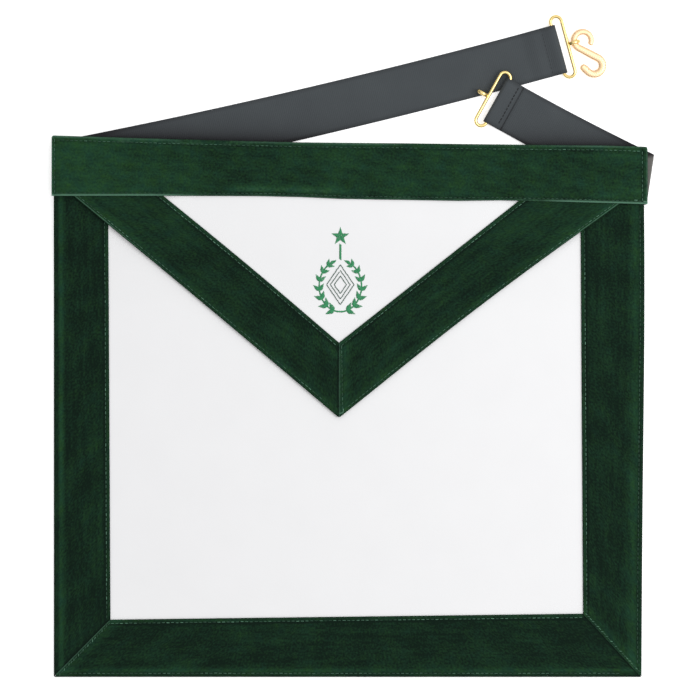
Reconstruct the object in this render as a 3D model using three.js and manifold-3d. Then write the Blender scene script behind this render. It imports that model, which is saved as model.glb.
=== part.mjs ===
// A lodge apron lying flat with its belts spread above it: a white leather panel
// with velvet borders, a triangular flap, a velvet waistband, and two webbing
// belts that end in gold wire links, one of them carrying a serpent clasp.
//
// Frame while modelling: x to the wearer's left as seen from above, y towards the
// belts, z up from the table. x = 0 is the waistband's middle and y = 0 the
// apron's lower edge. The finished group is moved to the middle of its own box.
import * as THREE from 'three';
import { mergeVertices } from 'three/addons/utils/BufferGeometryUtils.js';
import Module from 'manifold-3d';

const wasm = await Module();
wasm.setup();

// Driving dimensions, in millimetres and degrees.

// Sheets
const gap = 0.3; // between neighbouring layers
const leatherThick = 1.1; // apron panel
const flapThick = 1.0; // flap leather
const velvetThick = 1.0; // borders and waistband
const webbingThick = 1.2; // belts

// Apron body
const bodyInset = { left: 1.4, right: 2.1 }; // from the waistband's ends to the body's edges
const rightTaper = 1.9; // how far the right edge comes in at the bottom
const hemWidth = 10; // velvet turned to the back
const edgeBevel = 0.3; // on the velvet's cut edges
const leftBorder = { top: 37.3, bottom: 38.8 };
const rightBorder = { top: 43.6, bottom: 40.0 };
const bottomBorder = { left: 39.3, right: 43.4 };

// Waistband
const bandWidth = 407.8;
const bandTop = { left: 370.8, right: 362.7, sag: 1.4 };
const bandHeight = { left: 41.7, right: 39.2, waist: 2.7 };
const bandBackShort = 3; // the back's lower edge sits this much higher
const tuck = 6; // flap and borders run this far under the band
const tuckClear = 2; // the band's front stays level this far past their ends
const bandEase = 16; // the front comes down to the panel over this
const stripReach = 12; // it steps up over the flap's strips in this width
const liftReach = 12; // below the band the body is off the table for this far
const liftLength = 57; // and comes down to the table over this

// Flap
const flapDrop = 149.5; // band's lower edge to the V tip
const flapTipX = -7.2;
const flapInset = { left: 15.1, right: 18.7 }; // from the waistband's ends to its corners
const flapStrip = { width: 39.5, rightTop: 43.6, bevel: 0.4 };
const flapEase = 40; // the flap comes down from the borders over this
const flapEaseClear = 2; // having started this far inside their edges
const flapBlunt = 6; // the leather stops this far short of the tip

// Belts
const beltWidth = 33;
const turnLength = 13.5; // sewn end turned round the link
const turnEase = 10; // the belt rises over its turned end in this length
const turnClear = 2; // and has done so this far ahead of it
const loopEase = 9; // the turned layers close up over this
const leftBelt = { inset: 17, rise: 2.5, startAngle: 11.2, endAngle: 15.3, length: 341 };
const leftSewn = 24; // stretch held against the band's back
const leftDescent = 45; // from there down to the table
const rightBelt = { past: 2.0, drop: 4.0, startAngle: 154.4, endAngle: 150.7, length: 120.4 };
const rightSewn = 27; // from its sewn end to the fold
const foldAngle = 81.4; // of the fold line
const crossLength = 12; // end of the right belt that lies over the left one
const crossEase = 24;

// Links and clasp
const wire = 2.0;
const linkLength = 42.3; // outside
const linkBars = 7.6; // between the middles of the two bars
const ring = { outer: 4.1, hole: 2.7, width: 2.4, reach: 4.7, lift: 0.05 };
const clasp = { loop: 5.9, spread: 18.3, turn: -81, thick: 3.0, head: -48, tail: 196, tailLength: 4.8 };
const claspWidth = { head: 3.4, neck: 3.8, middle: 4.6, tail: 4.0 };
const claspPlace = { neck: 0.3, middle: 0.55, tail: 1 }; // shares of its length
const claspEnd = 0.55; // share of its thickness left at the blunt ends

// Values worked out from them
const bandHalf = bandWidth / 2;
const bodyLeft = bandHalf - bodyInset.left;
const bodyRight = bandHalf - bodyInset.right;
const hemTop = velvetThick;
const panelBase = hemTop + gap;
const panelTop = panelBase + leatherThick;
const borderBase = panelTop + gap;
const borderTop = borderBase + velvetThick;
const beltLayers = 2 * webbingThick + gap;
const liftHeight = beltLayers + gap;
const edgeInset = velvetThick + gap;

// Small helpers
const lerp = THREE.MathUtils.lerp;
const radians = THREE.MathUtils.degToRad;
const smooth = (value) => THREE.MathUtils.smoothstep(value, 0, 1);
const point = (x, y) => new THREE.Vector2(x, y);
const between = (a, b, share) => a.clone().lerp(b, share);
const shares = (count) => Array.from({ length: count + 1 }, (_, i) => i / count);

// The waistband's edges, as heights over x
const bandShare = (x) => (x + bandHalf) / bandWidth;
const bow = (x) => 4 * bandShare(x) * (1 - bandShare(x));
const bandTopAt = (x) => lerp(bandTop.left, bandTop.right, bandShare(x)) - bandTop.sag * bow(x);
const bandLowAt = (x) =>
  bandTopAt(x) - lerp(bandHeight.left, bandHeight.right, bandShare(x)) + bandHeight.waist * bow(x);
const bandMiddleAt = (x) => (bandTopAt(x) + bandLowAt(x)) / 2;

// Everything near the waistband is lifted off the table by the belts behind it
const liftFull = bandTop.right - bandHeight.right - liftReach;
const lift = (y) => liftHeight * smooth((y - liftFull + liftLength) / liftLength);

// The body's right edge
const rightEdgeAt = (y) => bodyRight - rightTaper * (1 - y / bandTop.right);

// A closed solid through a row of sections, each the same number of points.
// outline holds a section's points in its own plane, for the faces at both ends.
function loft(sections, { closed = false, outline = null } = {}) {
  const count = sections[0].length;
  const positions = sections.flat().flatMap((p) => [p.x, p.y, p.z]);
  const faces = [];
  const spans = closed ? sections.length : sections.length - 1;
  for (let i = 0; i < spans; i += 1) {
    const here = i * count;
    const next = ((i + 1) % sections.length) * count;
    for (let k = 0; k < count; k += 1) {
      const after = (k + 1) % count;
      faces.push([here + k, here + after, next + after], [here + k, next + after, next + k]);
    }
  }
  if (!closed) {
    const last = (sections.length - 1) * count;
    const cap = THREE.ShapeUtils.triangulateShape(outline ?? flatten(sections[0]), []);
    for (const [a, b, c] of cap) faces.push([a, c, b], [last + a, last + b, last + c]);
  }
  return orient(positions, faces);
}

// A section's points as seen square on, running counterclockwise
function flatten(section) {
  const normal = new THREE.Vector3();
  section.forEach((p, i) => normal.add(p.clone().cross(section[(i + 1) % section.length])));
  const turn = new THREE.Quaternion().setFromUnitVectors(normal.normalize(), new THREE.Vector3(0, 0, 1));
  return section.map((p) => p.clone().applyQuaternion(turn)).map((p) => point(p.x, p.y));
}

// A geometry whose faces point out
function orient(positions, faces) {
  const corner = (i) => new THREE.Vector3().fromArray(positions, 3 * i);
  let volume = 0;
  for (const [a, b, c] of faces) volume += corner(a).dot(corner(b).cross(corner(c)));
  const index = faces.flatMap(([a, b, c]) => (volume > 0 ? [a, b, c] : [a, c, b]));
  const geometry = new THREE.BufferGeometry();
  geometry.setAttribute('position', new THREE.Float32BufferAttribute(positions, 3));
  geometry.setIndex(index);
  geometry.computeVertexNormals();
  return geometry;
}

// Solids for cutting and joining, and back again
function toSolid(geometry) {
  const plain = geometry.clone();
  plain.deleteAttribute('normal');
  plain.deleteAttribute('uv');
  const merged = mergeVertices(plain, 1e-4);
  const vertProperties = new Float32Array(merged.attributes.position.array);
  const triVerts = new Uint32Array(merged.index.array);
  return new wasm.Manifold(new wasm.Mesh({ numProp: 3, vertProperties, triVerts }));
}

function fromSolid(solid) {
  const mesh = solid.getMesh();
  const geometry = new THREE.BufferGeometry();
  geometry.setAttribute('position', new THREE.BufferAttribute(mesh.vertProperties, 3));
  geometry.setIndex(new THREE.BufferAttribute(mesh.triVerts, 1));
  geometry.computeVertexNormals();
  return geometry;
}

// A sheet over a grid: place(u, v) gives the plan point, base(x, y) its underside.
// Its first and last columns are straight in plan.
function sheet(columns, rows, place, base, thickness) {
  const sections = shares(columns).map((u) => {
    const plan = shares(rows).map((v) => place(u, v));
    const top = plan.map((p) => new THREE.Vector3(p.x, p.y, base(p.x, p.y) + thickness));
    const under = plan.map((p) => new THREE.Vector3(p.x, p.y, base(p.x, p.y)));
    return [...top, ...under.reverse()];
  });
  return loft(sections);
}

// A velvet strip between an outer and an inner edge. Its profile points hold a
// distance from the outer edge and a height, and start and end are the two cuts.
function strip({ profile, start, end, base, rows }) {
  const at = ({ from, z }, share) => {
    const width = lerp(start.width, end.width, share);
    const first = between(start.outer, start.inner, from(width) / width);
    const last = between(end.outer, end.inner, from(width) / width);
    const plan = between(first, last, share);
    return new THREE.Vector3(plan.x, plan.y, base(plan.x, plan.y) + z);
  };
  const seen = profile.map(({ from, z }) => point(from(start.width), z));
  const outline = seen.map((p) => point(THREE.ShapeUtils.isClockWise(seen) ? -p.x : p.x, p.y));
  return loft(shares(rows).map((share) => profile.map((spot) => at(spot, share))), { outline });
}

const fromOuter = (distance) => () => distance;
const fromInner = (distance) => (width) => width - distance;
const acrossWidth = (share) => (width) => width * share;

// Apron body: panel and three borders

function makePanel() {
  const place = (u, v) => {
    const left = -bodyLeft + edgeInset;
    const right = rightEdgeAt(v * bandTop.right) - edgeInset;
    const x = lerp(left, right, u);
    const top = bandTopAt(x) - borderTop / 2;
    return point(x, lerp(edgeInset, top, v));
  };
  return sheet(8, 30, place, (x, y) => lift(y) + panelBase, leatherThick);
}

// A border's section wraps the panel's edge: front, round fold and narrow hem
const foldRadius = borderTop / 2;
const foldPoints = shares(6).map((share) => {
  const angle = lerp(-Math.PI / 2, Math.PI / 2, share);
  const z = foldRadius * (1 + Math.sin(angle));
  const inward = foldRadius * (1 - Math.cos(angle));
  return { from: fromOuter(inward), z };
});
const borderProfile = [
  { from: fromOuter(hemWidth), z: 0 },
  ...foldPoints,
  { from: fromInner(edgeBevel), z: borderTop },
  { from: fromInner(0), z: borderTop - edgeBevel },
  { from: fromInner(0), z: borderBase },
  { from: fromOuter(edgeInset + gap), z: borderBase },
  { from: fromOuter(velvetThick), z: borderBase - gap },
  { from: fromOuter(velvetThick), z: panelBase },
  { from: fromOuter(edgeInset + gap), z: hemTop },
  { from: fromOuter(hemWidth), z: hemTop },
];

const innerLeftCorner = point(-bodyLeft + leftBorder.bottom, bottomBorder.left);
const outerLeftCorner = point(-bodyLeft, 0);
const outerRightCorner = point(rightEdgeAt(0), 0);
const innerRightCorner = point(outerRightCorner.x - rightBorder.bottom, bottomBorder.right);
const bodyBase = (x, y) => lift(y);

// A border's upper end runs under the band's front and stops short of its back
function borderTopCut(outerX, innerX) {
  const at = (x) => point(x, bandLowAt(x) + bandBackShort - 2 * gap);
  return { outer: at(outerX), inner: at(innerX), width: Math.abs(outerX - innerX) };
}

function makeLeftBorder() {
  const rise = point(0, gap / 2);
  const start = {
    outer: outerLeftCorner.clone().add(rise),
    inner: innerLeftCorner.clone().add(rise),
    width: leftBorder.bottom,
  };
  const end = borderTopCut(-bodyLeft, -bodyLeft + leftBorder.top);
  return strip({ profile: borderProfile, start, end, base: bodyBase, rows: 26 });
}

function makeRightBorder() {
  const rise = point(0, gap / 2);
  const start = {
    outer: outerRightCorner.clone().add(rise),
    inner: innerRightCorner.clone().add(rise),
    width: rightBorder.bottom,
  };
  const topX = rightEdgeAt(bandLowAt(bodyRight));
  const end = borderTopCut(topX, topX - rightBorder.top);
  return strip({ profile: borderProfile, start, end, base: bodyBase, rows: 26 });
}

function makeBottomBorder() {
  const shift = point(gap / 2, 0);
  const start = {
    outer: outerLeftCorner.clone().add(shift),
    inner: innerLeftCorner.clone().add(shift),
    width: bottomBorder.left,
  };
  const end = {
    outer: outerRightCorner.clone().sub(shift),
    inner: innerRightCorner.clone().sub(shift),
    width: bottomBorder.right,
  };
  return strip({ profile: borderProfile, start, end, base: bodyBase, rows: 8 });
}

// Flap: leather triangle and two strips that meet at the V tip

// The flap lies on the borders at the sides and on the panel between them
const sideStart = {
  left: bodyLeft - leftBorder.top - flapEaseClear - flapEase,
  right: bodyRight - rightBorder.top - flapEaseClear - flapEase,
};
const sideRise = (x) => smooth(Math.max(-x - sideStart.left, x - sideStart.right) / flapEase);
const flapBase = (x, y) => lift(y) + panelTop + gap + (velvetThick + gap) * sideRise(x);
const flapStripBase = flapThick + gap;
const flapStripTop = flapStripBase + velvetThick;

const flapTip = point(flapTipX, bandLowAt(flapTipX) - flapDrop);
const onBandEdge = (x) => point(x, bandLowAt(x));
const flapLeftCorner = onBandEdge(-bandHalf + flapInset.left);
const flapRightCorner = onBandEdge(bandHalf - flapInset.right);
const leftSlope = flapLeftCorner.clone().sub(flapTip).normalize();
const rightSlope = flapRightCorner.clone().sub(flapTip).normalize();
const flapApex = point(flapTipX, flapTip.y + flapStrip.width / -leftSlope.x);

// A point moved along a slope until it is the given distance above the band's edge
function underBand(from, slope, depth) {
  let travel = (bandLowAt(from.x) + depth - from.y) / slope.y;
  for (let i = 0; i < 8; i += 1) {
    const x = from.x + slope.x * travel;
    travel = (bandLowAt(x) + depth - from.y) / slope.y;
  }
  return from.clone().addScaledVector(slope, travel);
}

const inwardLeft = point(leftSlope.y, -leftSlope.x);
const inwardRight = point(-rightSlope.y, rightSlope.x);
const rightInnerTop = underBand(
  flapRightCorner.clone().addScaledVector(inwardRight, flapStrip.rightTop), rightSlope, 0);
const rightInnerSlope = rightInnerTop.clone().sub(flapApex).normalize();

function makeFlapPanel() {
  const edge = (slope, inward) => {
    const foot = flapTip.clone().addScaledVector(inward, edgeInset);
    const blunt = foot.clone().addScaledVector(slope, flapBlunt / slope.y);
    return { blunt, top: underBand(foot, slope, tuck) };
  };
  const left = edge(leftSlope, inwardLeft);
  const right = edge(rightSlope, inwardRight);
  const place = (u, v) =>
    between(between(left.blunt, right.blunt, u), between(left.top, right.top, u), v);
  return sheet(28, 16, place, flapBase, flapThick);
}

// A flap strip's section turns down over the leather's edge
const flapProfile = [
  { from: fromOuter(0), z: 0 },
  { from: fromOuter(0), z: flapStripTop - flapStrip.bevel },
  { from: fromOuter(flapStrip.bevel), z: flapStripTop },
  { from: acrossWidth(0.25), z: flapStripTop },
  { from: acrossWidth(0.5), z: flapStripTop },
  { from: acrossWidth(0.75), z: flapStripTop },
  { from: fromInner(edgeBevel), z: flapStripTop },
  { from: fromInner(0), z: flapStripTop - edgeBevel },
  { from: fromInner(0), z: flapStripBase },
  { from: acrossWidth(0.75), z: flapStripBase },
  { from: acrossWidth(0.5), z: flapStripBase },
  { from: acrossWidth(0.25), z: flapStripBase },
  { from: fromOuter(velvetThick), z: flapStripBase },
  { from: fromOuter(velvetThick), z: 0 },
];

function flapBorder(slope, innerSlope, topWidth) {
  const parting = gap / 2 / Math.abs(slope.x);
  const outer = flapTip.clone().addScaledVector(slope, parting);
  const inner = flapApex.clone().addScaledVector(innerSlope, parting);
  const tipWidth = (flapApex.y - flapTip.y) * Math.abs(slope.x);
  const start = { outer, inner, width: tipWidth };
  const end = {
    outer: underBand(outer, slope, tuck),
    inner: underBand(inner, innerSlope, tuck),
    width: topWidth,
  };
  return strip({ profile: flapProfile, start, end, base: flapBase, rows: 24 });
}

// Waistband: folded over the panel's top edge, closed at both ends

// Stretches of x over which the front layer steps up or down
const leftInnerTop = underBand(flapApex, leftSlope, 0);
const leftOuterTop = underBand(flapTip, leftSlope, tuck);
const rightOuterTop = underBand(flapTip, rightSlope, tuck);
const steps = {
  pastLeft: [leftOuterTop.x - velvetThick, -bandHalf],
  pastRight: [rightOuterTop.x + velvetThick, bandHalf],
  stripLeft: [leftInnerTop.x + stripReach, leftInnerTop.x],
  stripRight: [rightInnerTop.x - stripReach, rightInnerTop.x],
  sideLeft: [-sideStart.left, -sideStart.left - flapEase],
  sideRight: [sideStart.right, sideStart.right + flapEase],
};
const stepAt = (x, [from, to]) => smooth((x - from) / (to - from));

// Height of the front layer's underside: it steps over what runs under its edge
const frontClear = panelTop + gap;
const tucked = tuck + tuckClear;
const frontBase = (x, above) => {
  const fade = 1 - smooth((above - tucked) / bandEase);
  const strips = stepAt(x, steps.stripLeft) + stepAt(x, steps.stripRight);
  const past = stepAt(x, steps.pastLeft) + stepAt(x, steps.pastRight);
  const full = flapThick + gap + (velvetThick + gap) * (sideRise(x) + strips);
  return frontClear + lerp(full, velvetThick + gap, past) * fade;
};

function makeWaistband() {
  const heights = [0, tucked, ...shares(4).slice(1).map((share) => tucked + share * bandEase)];
  const turn = shares(4).map((share) => share * Math.PI);
  // One section of the full shape, or of the hollow that is cut from it: inset
  // by the velvet and spilling out below
  const section = (x, grow, spill) => {
    const low = bandLowAt(x);
    const base = liftHeight;
    const front = (above) => base + frontBase(x, above) + velvetThick - grow;
    const behind = base + grow;
    const topFront = base + frontClear + velvetThick - grow;
    const radius = (topFront - behind) / 2;
    const axis = bandTopAt(x) - borderTop / 2;
    const fold = turn.map((angle) => new THREE.Vector3(
      x, axis + radius * Math.sin(angle), behind + radius * (1 - Math.cos(angle))));
    const step = velvetThick + gap;
    const foot = spill > 0
      ? [[low - spill, front(0)]]
      : [[low, front(0) - step], [low + bandBackShort, behind + step]];
    return [
      new THREE.Vector3(x, low + bandBackShort - spill, behind),
      ...fold,
      ...heights.toReversed().map((above) => new THREE.Vector3(x, low + above, front(above))),
      ...foot.map(([y, z]) => new THREE.Vector3(x, y, z)),
    ];
  };
  const even = shares(6).slice(1, -1).map((share) => lerp(-bandHalf, bandHalf, share));
  const stations = [...even, ...Object.values(steps).flatMap(([from, to]) =>
    shares(4).map((share) => lerp(from, to, share)))].sort((a, b) => a - b);
  const apart = stations.filter((x, i) => i === 0 || x - stations[i - 1] > gap);
  const inset = 1 - velvetThick / bandHalf;
  const outer = loft(apart.map((x) => section(x, 0, 0)));
  const inner = loft(apart.map((x) => section(x * inset, velvetThick, tucked)));
  return fromSolid(toSolid(outer).subtract(toSolid(inner)));
}

// Belts: each is a ribbon through rows, a row being two plan points, a height
// and the direction its outer face looks

function ribbon(rows) {
  const half = webbingThick / 2;
  const sections = rows.map(({ a, b, z, normal }) => {
    const at = (edge, side) => new THREE.Vector3(edge.x, edge.y, z).addScaledVector(normal, side * half);
    return [at(a, 1), at(b, 1), at(b, -1), at(a, -1)];
  });
  return loft(sections);
}

// A circular arc in plan, by its length and its angles at both ends
function arcRoute(start, startAngle, endAngle, length) {
  const first = radians(startAngle);
  const bend = (radians(endAngle) - first) / length;
  return (travel) => {
    const angle = first + bend * travel;
    const x = start.x + (Math.sin(angle) - Math.sin(first)) / bend;
    const y = start.y - (Math.cos(angle) - Math.cos(first)) / bend;
    const along = point(Math.cos(angle), Math.sin(angle));
    return { at: point(x, y), along, across: point(-along.y, along.x) };
  };
}

// One row square to the route. pitch is the outer face's tilt towards the route.
function squareRow(route, travel, z, pitch) {
  const { at, along, across } = route(travel);
  const normal = new THREE.Vector3(
    along.x * Math.sin(pitch), along.y * Math.sin(pitch), Math.cos(pitch));
  const half = beltWidth / 2;
  return {
    a: at.clone().addScaledVector(across, -half),
    b: at.clone().addScaledVector(across, half),
    z,
    normal,
  };
}

// Rows over a stretch that eases from one height to another
function easedRows(route, from, to, zFrom, zTo, count, facing) {
  return shares(count).map((share) => {
    const slope = ((zTo - zFrom) * 6 * share * (1 - share)) / (to - from);
    const pitch = facing > 0 ? -Math.atan(slope) : Math.PI + -Math.atan(slope);
    return squareRow(route, lerp(from, to, share), lerp(zFrom, zTo, smooth(share)), pitch);
  });
}

// The loop round a link's bar, from pitch 0 to pitch 180 degrees or the reverse
const loopRadius = wire / 2 + gap + webbingThick / 2;
const loopOutside = loopRadius + webbingThick / 2;
function loopRows(route, barTravel, barZ, facing) {
  return shares(10).slice(1, -1).map((share) => {
    const pitch = facing > 0 ? share * Math.PI : Math.PI * (1 - share);
    const travel = barTravel + loopRadius * Math.sin(pitch);
    return squareRow(route, travel, barZ + loopRadius * Math.cos(pitch), pitch);
  });
}

const onTable = webbingThick / 2;
const onBelt = onTable + webbingThick + gap;

// The left belt: held under the band's back, down to the table, over its own
// turned end and round the link's bar
const leftStartX = -bandHalf + leftBelt.inset;
const leftRoute = arcRoute(
  point(leftStartX, bandMiddleAt(leftStartX) + leftBelt.rise),
  leftBelt.startAngle, leftBelt.endAngle, leftBelt.length);
const leftBarTravel = leftBelt.length - loopOutside;
const leftBarZ = loopOutside;

const leftTurned = leftBelt.length - turnLength;
const leftClimb = leftTurned - turnClear - turnEase;

function makeLeftBelt() {
  const down = leftSewn + leftDescent;
  const close = leftBarTravel - loopEase;
  const above = leftBarZ + loopRadius;
  const below = leftBarZ - loopRadius;
  return ribbon([
    squareRow(leftRoute, 0, onBelt, 0),
    ...easedRows(leftRoute, leftSewn, down, onBelt, onTable, 8, 1),
    ...easedRows(leftRoute, down + turnEase, leftClimb - turnClear, onTable, onTable, 10, 1),
    ...easedRows(leftRoute, leftClimb, leftTurned - turnClear, onTable, onBelt, 6, 1),
    ...easedRows(leftRoute, close, leftBarTravel, onBelt, above, 6, 1),
    ...loopRows(leftRoute, leftBarTravel, leftBarZ, 1),
    ...easedRows(leftRoute, leftBarTravel, leftTurned, below, below, 3, -1),
  ]);
}

// The right belt: from its sewn end to the fold past the band's end, round the
// fold, back along the table, over the left belt and round its link's bar
const foldEdge = point(bandHalf + rightBelt.past, bandMiddleAt(bandHalf) - rightBelt.drop);
const foldAlong = point(Math.cos(radians(foldAngle)), Math.sin(radians(foldAngle)));
const foldOut = point(foldAlong.y, -foldAlong.x);
const foldOutside = beltLayers / 2;
const foldBend = foldOutside - webbingThick / 2;
const foldAxis = foldEdge.clone().addScaledVector(foldOut, -foldOutside);
const foldHalf = beltWidth / 2 / Math.sin(radians(rightBelt.startAngle - foldAngle));
const rightRoute = arcRoute(
  foldAxis, rightBelt.startAngle, rightBelt.endAngle, rightBelt.length - foldOutside);
const rightLength = rightBelt.length - foldOutside;
const rightBarTravel = rightLength - loopOutside;

// Its end lies on the left belt, or on that belt's turned end where it reaches so far
const meeting = rightRoute(rightBarTravel - crossLength).at.distanceTo(leftRoute(0).at);
const crossFloor = (meeting < leftClimb ? webbingThick : 2 * loopOutside) + gap;
const rightBarZ = crossFloor + loopOutside;

// The row along the fold. Its ends swap sides on the way back, as a belt's do.
function foldRow(pitch) {
  const middle = foldAxis.clone().addScaledVector(foldOut, foldBend * Math.sin(pitch));
  return {
    a: middle.clone().addScaledVector(foldAlong, foldHalf),
    b: middle.clone().addScaledVector(foldAlong, -foldHalf),
    z: foldOutside + foldBend * Math.cos(pitch),
    normal: new THREE.Vector3(foldOut.x * Math.sin(pitch), foldOut.y * Math.sin(pitch), Math.cos(pitch)),
  };
}

function makeRightBelt() {
  const inAngle = radians(2 * foldAngle - rightBelt.startAngle);
  const incoming = point(Math.cos(inAngle), Math.sin(inAngle));
  const acrossIn = point(-incoming.y, incoming.x);
  const sewn = foldAxis.clone().addScaledVector(incoming, -rightSewn);
  const up = new THREE.Vector3(0, 0, 1);
  const sewnRow = {
    a: sewn.clone().addScaledVector(acrossIn, beltWidth / 2),
    b: sewn.clone().addScaledVector(acrossIn, -beltWidth / 2),
    z: onBelt,
    normal: up,
  };
  const rightTurned = rightLength - turnLength;
  const crossEnd = rightTurned - crossLength;
  const crossStart = crossEnd - crossEase;
  const open = rightBarTravel - loopEase;
  const under = crossFloor + onTable;
  const over = crossFloor + onBelt;
  return ribbon([
    sewnRow,
    ...shares(6).map((share) => foldRow(share * Math.PI)),
    ...easedRows(rightRoute, crossLength, crossStart - turnClear, onTable, onTable, 6, -1),
    ...easedRows(rightRoute, crossStart, crossEnd, onTable, under, 6, -1),
    squareRow(rightRoute, rightBarTravel, under, Math.PI),
    ...loopRows(rightRoute, rightBarTravel, rightBarZ, -1),
    ...easedRows(rightRoute, rightBarTravel, open, rightBarZ + loopRadius, over, 6, 1),
    squareRow(rightRoute, rightTurned, over, 0),
  ]);
}

// Links and clasp

// A tube through a planar route. Each stop has a place, a sideways direction and
// its half sizes, sideways and along the route's own up.
function tube(stops, up, sides, closed) {
  const sections = stops.map(({ at, side, halfSide, halfUp }) =>
    shares(sides).slice(0, -1).map((share) => {
      const angle = share * 2 * Math.PI;
      return at.clone()
        .addScaledVector(side, halfSide * Math.cos(angle))
        .addScaledVector(up, halfUp * Math.sin(angle));
    }));
  return loft(sections, { closed });
}

// A link's own axes: out from the belt, along the bar, and up from its plane
function linkFrame(route, barTravel, barZ, floor) {
  const { at, along, across } = route(barTravel);
  const tilt = Math.asin((floor + ring.outer - barZ) / (linkBars + ring.reach));
  const out = new THREE.Vector3(along.x * Math.cos(tilt), along.y * Math.cos(tilt), Math.sin(tilt));
  const bar = new THREE.Vector3(across.x, across.y, 0);
  const up = out.clone().cross(bar);
  return { origin: new THREE.Vector3(at.x, at.y, barZ), out, bar, up };
}

function makeLink({ origin, out, bar, up }) {
  const radius = linkBars / 2;
  const straight = linkLength - wire - linkBars;
  const end = (sign) => shares(10).map((share) => {
    const angle = share * Math.PI;
    const side = out.clone().multiplyScalar(sign * Math.cos(angle))
      .addScaledVector(bar, sign * Math.sin(angle));
    const at = origin.clone()
      .addScaledVector(out, radius)
      .addScaledVector(bar, (sign * straight) / 2)
      .addScaledVector(side, radius);
    return { at, side, halfSide: wire / 2, halfUp: wire / 2 };
  });
  const loop = tube([...end(1), ...end(-1)], up, 10, true);
  const centre = origin.clone().addScaledVector(out, linkBars + ring.reach);
  const wall = (ring.outer - ring.hole) / 2;
  const eyeStops = shares(22).slice(0, -1).map((share) => {
    const angle = share * 2 * Math.PI;
    const side = out.clone().multiplyScalar(Math.cos(angle)).addScaledVector(up, Math.sin(angle));
    const at = centre.clone().addScaledVector(side, ring.hole + wall);
    return { at, side, halfSide: wall, halfUp: ring.width / 2 };
  });
  const eye = tube(eyeStops, bar, 8, true);
  return fromSolid(toSolid(loop).add(toSolid(eye)));
}

// The clasp: a head loop that lies in the link's ring, a straight middle and a
// tail loop that rests on the table
function makeClasp({ origin, out }) {
  const centre = origin.clone().addScaledVector(out, linkBars + ring.reach);
  const along = point(out.x, out.y).normalize();
  const heading = Math.atan2(along.y, along.x);
  const first = point(centre.x, centre.y).addScaledVector(along, clasp.loop);
  const line = heading + radians(clasp.turn);
  const second = first.clone().add(point(Math.cos(line), Math.sin(line)).multiplyScalar(clasp.spread));
  const meet = line - Math.acos((2 * clasp.loop) / clasp.spread) + 2 * Math.PI;
  const onLoop = (middle, angle) =>
    middle.clone().add(point(Math.cos(angle), Math.sin(angle)).multiplyScalar(clasp.loop));
  const headStart = heading + radians(clasp.head);
  const headLoop = shares(22).map((share) => {
    const angle = lerp(headStart, meet, share);
    return { plan: onLoop(first, angle), side: point(Math.cos(angle), Math.sin(angle)) };
  });
  const leave = meet - Math.PI;
  const tailLoop = shares(16).map((share) => {
    const angle = leave - radians(clasp.tail) * share;
    return { plan: onLoop(second, angle), side: point(-Math.cos(angle), -Math.sin(angle)) };
  });
  const last = tailLoop.at(-1);
  const tailWay = point(-last.side.y, last.side.x);
  const tailEnd = {
    plan: last.plan.clone().addScaledVector(tailWay, clasp.tailLength),
    side: last.side,
  };
  const stops = [...headLoop, ...tailLoop, tailEnd];
  const crossing = centre.z - (ring.hole - gap - clasp.thick / 2);
  const away = point(Math.cos(line), Math.sin(line)).add(along).normalize();
  const reachOf = ({ plan }) => plan.clone().sub(point(centre.x, centre.y)).dot(away);
  const farthest = Math.max(...stops.map(reachOf));
  const fall = (crossing - clasp.thick / 2) / farthest;
  const tip = stops.length - 1;
  const up = new THREE.Vector3(0, 0, 1);
  const { neck, middle, tail } = claspPlace;
  const widthAt = (share) => {
    if (share < neck) return lerp(claspWidth.head, claspWidth.neck, share / neck);
    if (share < middle) {
      return lerp(claspWidth.neck, claspWidth.middle, smooth((share - neck) / (middle - neck)));
    }
    return lerp(claspWidth.middle, claspWidth.tail, (share - middle) / (tail - middle));
  };
  return tube(stops.map((stop, i) => {
    const ending = i === 0 || i === tip ? claspEnd : 1;
    return {
      at: new THREE.Vector3(stop.plan.x, stop.plan.y, crossing - fall * reachOf(stop)),
      side: new THREE.Vector3(stop.side.x, stop.side.y, 0),
      halfSide: (widthAt(i / tip) / 2) * ending,
      halfUp: (clasp.thick / 2) * ending,
    };
  }), up, 10, false);
}

// The assembly

const paint = (color, roughness, metalness = 0) =>
  new THREE.MeshStandardMaterial({ color, roughness, metalness });
const leather = { color: 0xf1f1f3, roughness: 0.5 };
const velvet = { color: 0x1e3f30, roughness: 0.95 };
const webbing = { color: 0x4b5255, roughness: 0.85 };
const gold = { color: 0xe6c56a, roughness: 0.25, metalness: 1 };
const roseGold = { color: 0xf0cb96, roughness: 0.35, metalness: 1 };

const hookFrame = linkFrame(leftRoute, leftBarTravel, leftBarZ, ring.lift);
const eyeFrame = linkFrame(rightRoute, rightBarTravel, rightBarZ, crossFloor);

const pieces = [
  ['apron_panel', makePanel(), leather],
  ['border_left', makeLeftBorder(), velvet],
  ['border_right', makeRightBorder(), velvet],
  ['border_bottom', makeBottomBorder(), velvet],
  ['flap_panel', makeFlapPanel(), leather],
  ['flap_border_left', flapBorder(leftSlope, leftSlope, flapStrip.width), velvet],
  ['flap_border_right', flapBorder(rightSlope, rightInnerSlope, flapStrip.rightTop), velvet],
  ['waistband', makeWaistband(), velvet],
  ['belt_left', makeLeftBelt(), webbing],
  ['belt_right', makeRightBelt(), webbing],
  ['hook_link', makeLink(hookFrame), gold],
  ['eye_link', makeLink(eyeFrame), gold],
  ['s_hook', makeClasp(hookFrame), roseGold],
];

const apron = new THREE.Group();
for (const [name, geometry, look] of pieces) {
  const mesh = new THREE.Mesh(geometry, paint(look.color, look.roughness, look.metalness));
  mesh.name = name;
  apron.add(mesh);
}

// Stand the group on the table with its box's middle over the origin
const box = new THREE.Box3().setFromObject(apron);
const middle = box.getCenter(new THREE.Vector3());
apron.position.set(-middle.x, -middle.y, -box.min.z);

export default apron;
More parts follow.
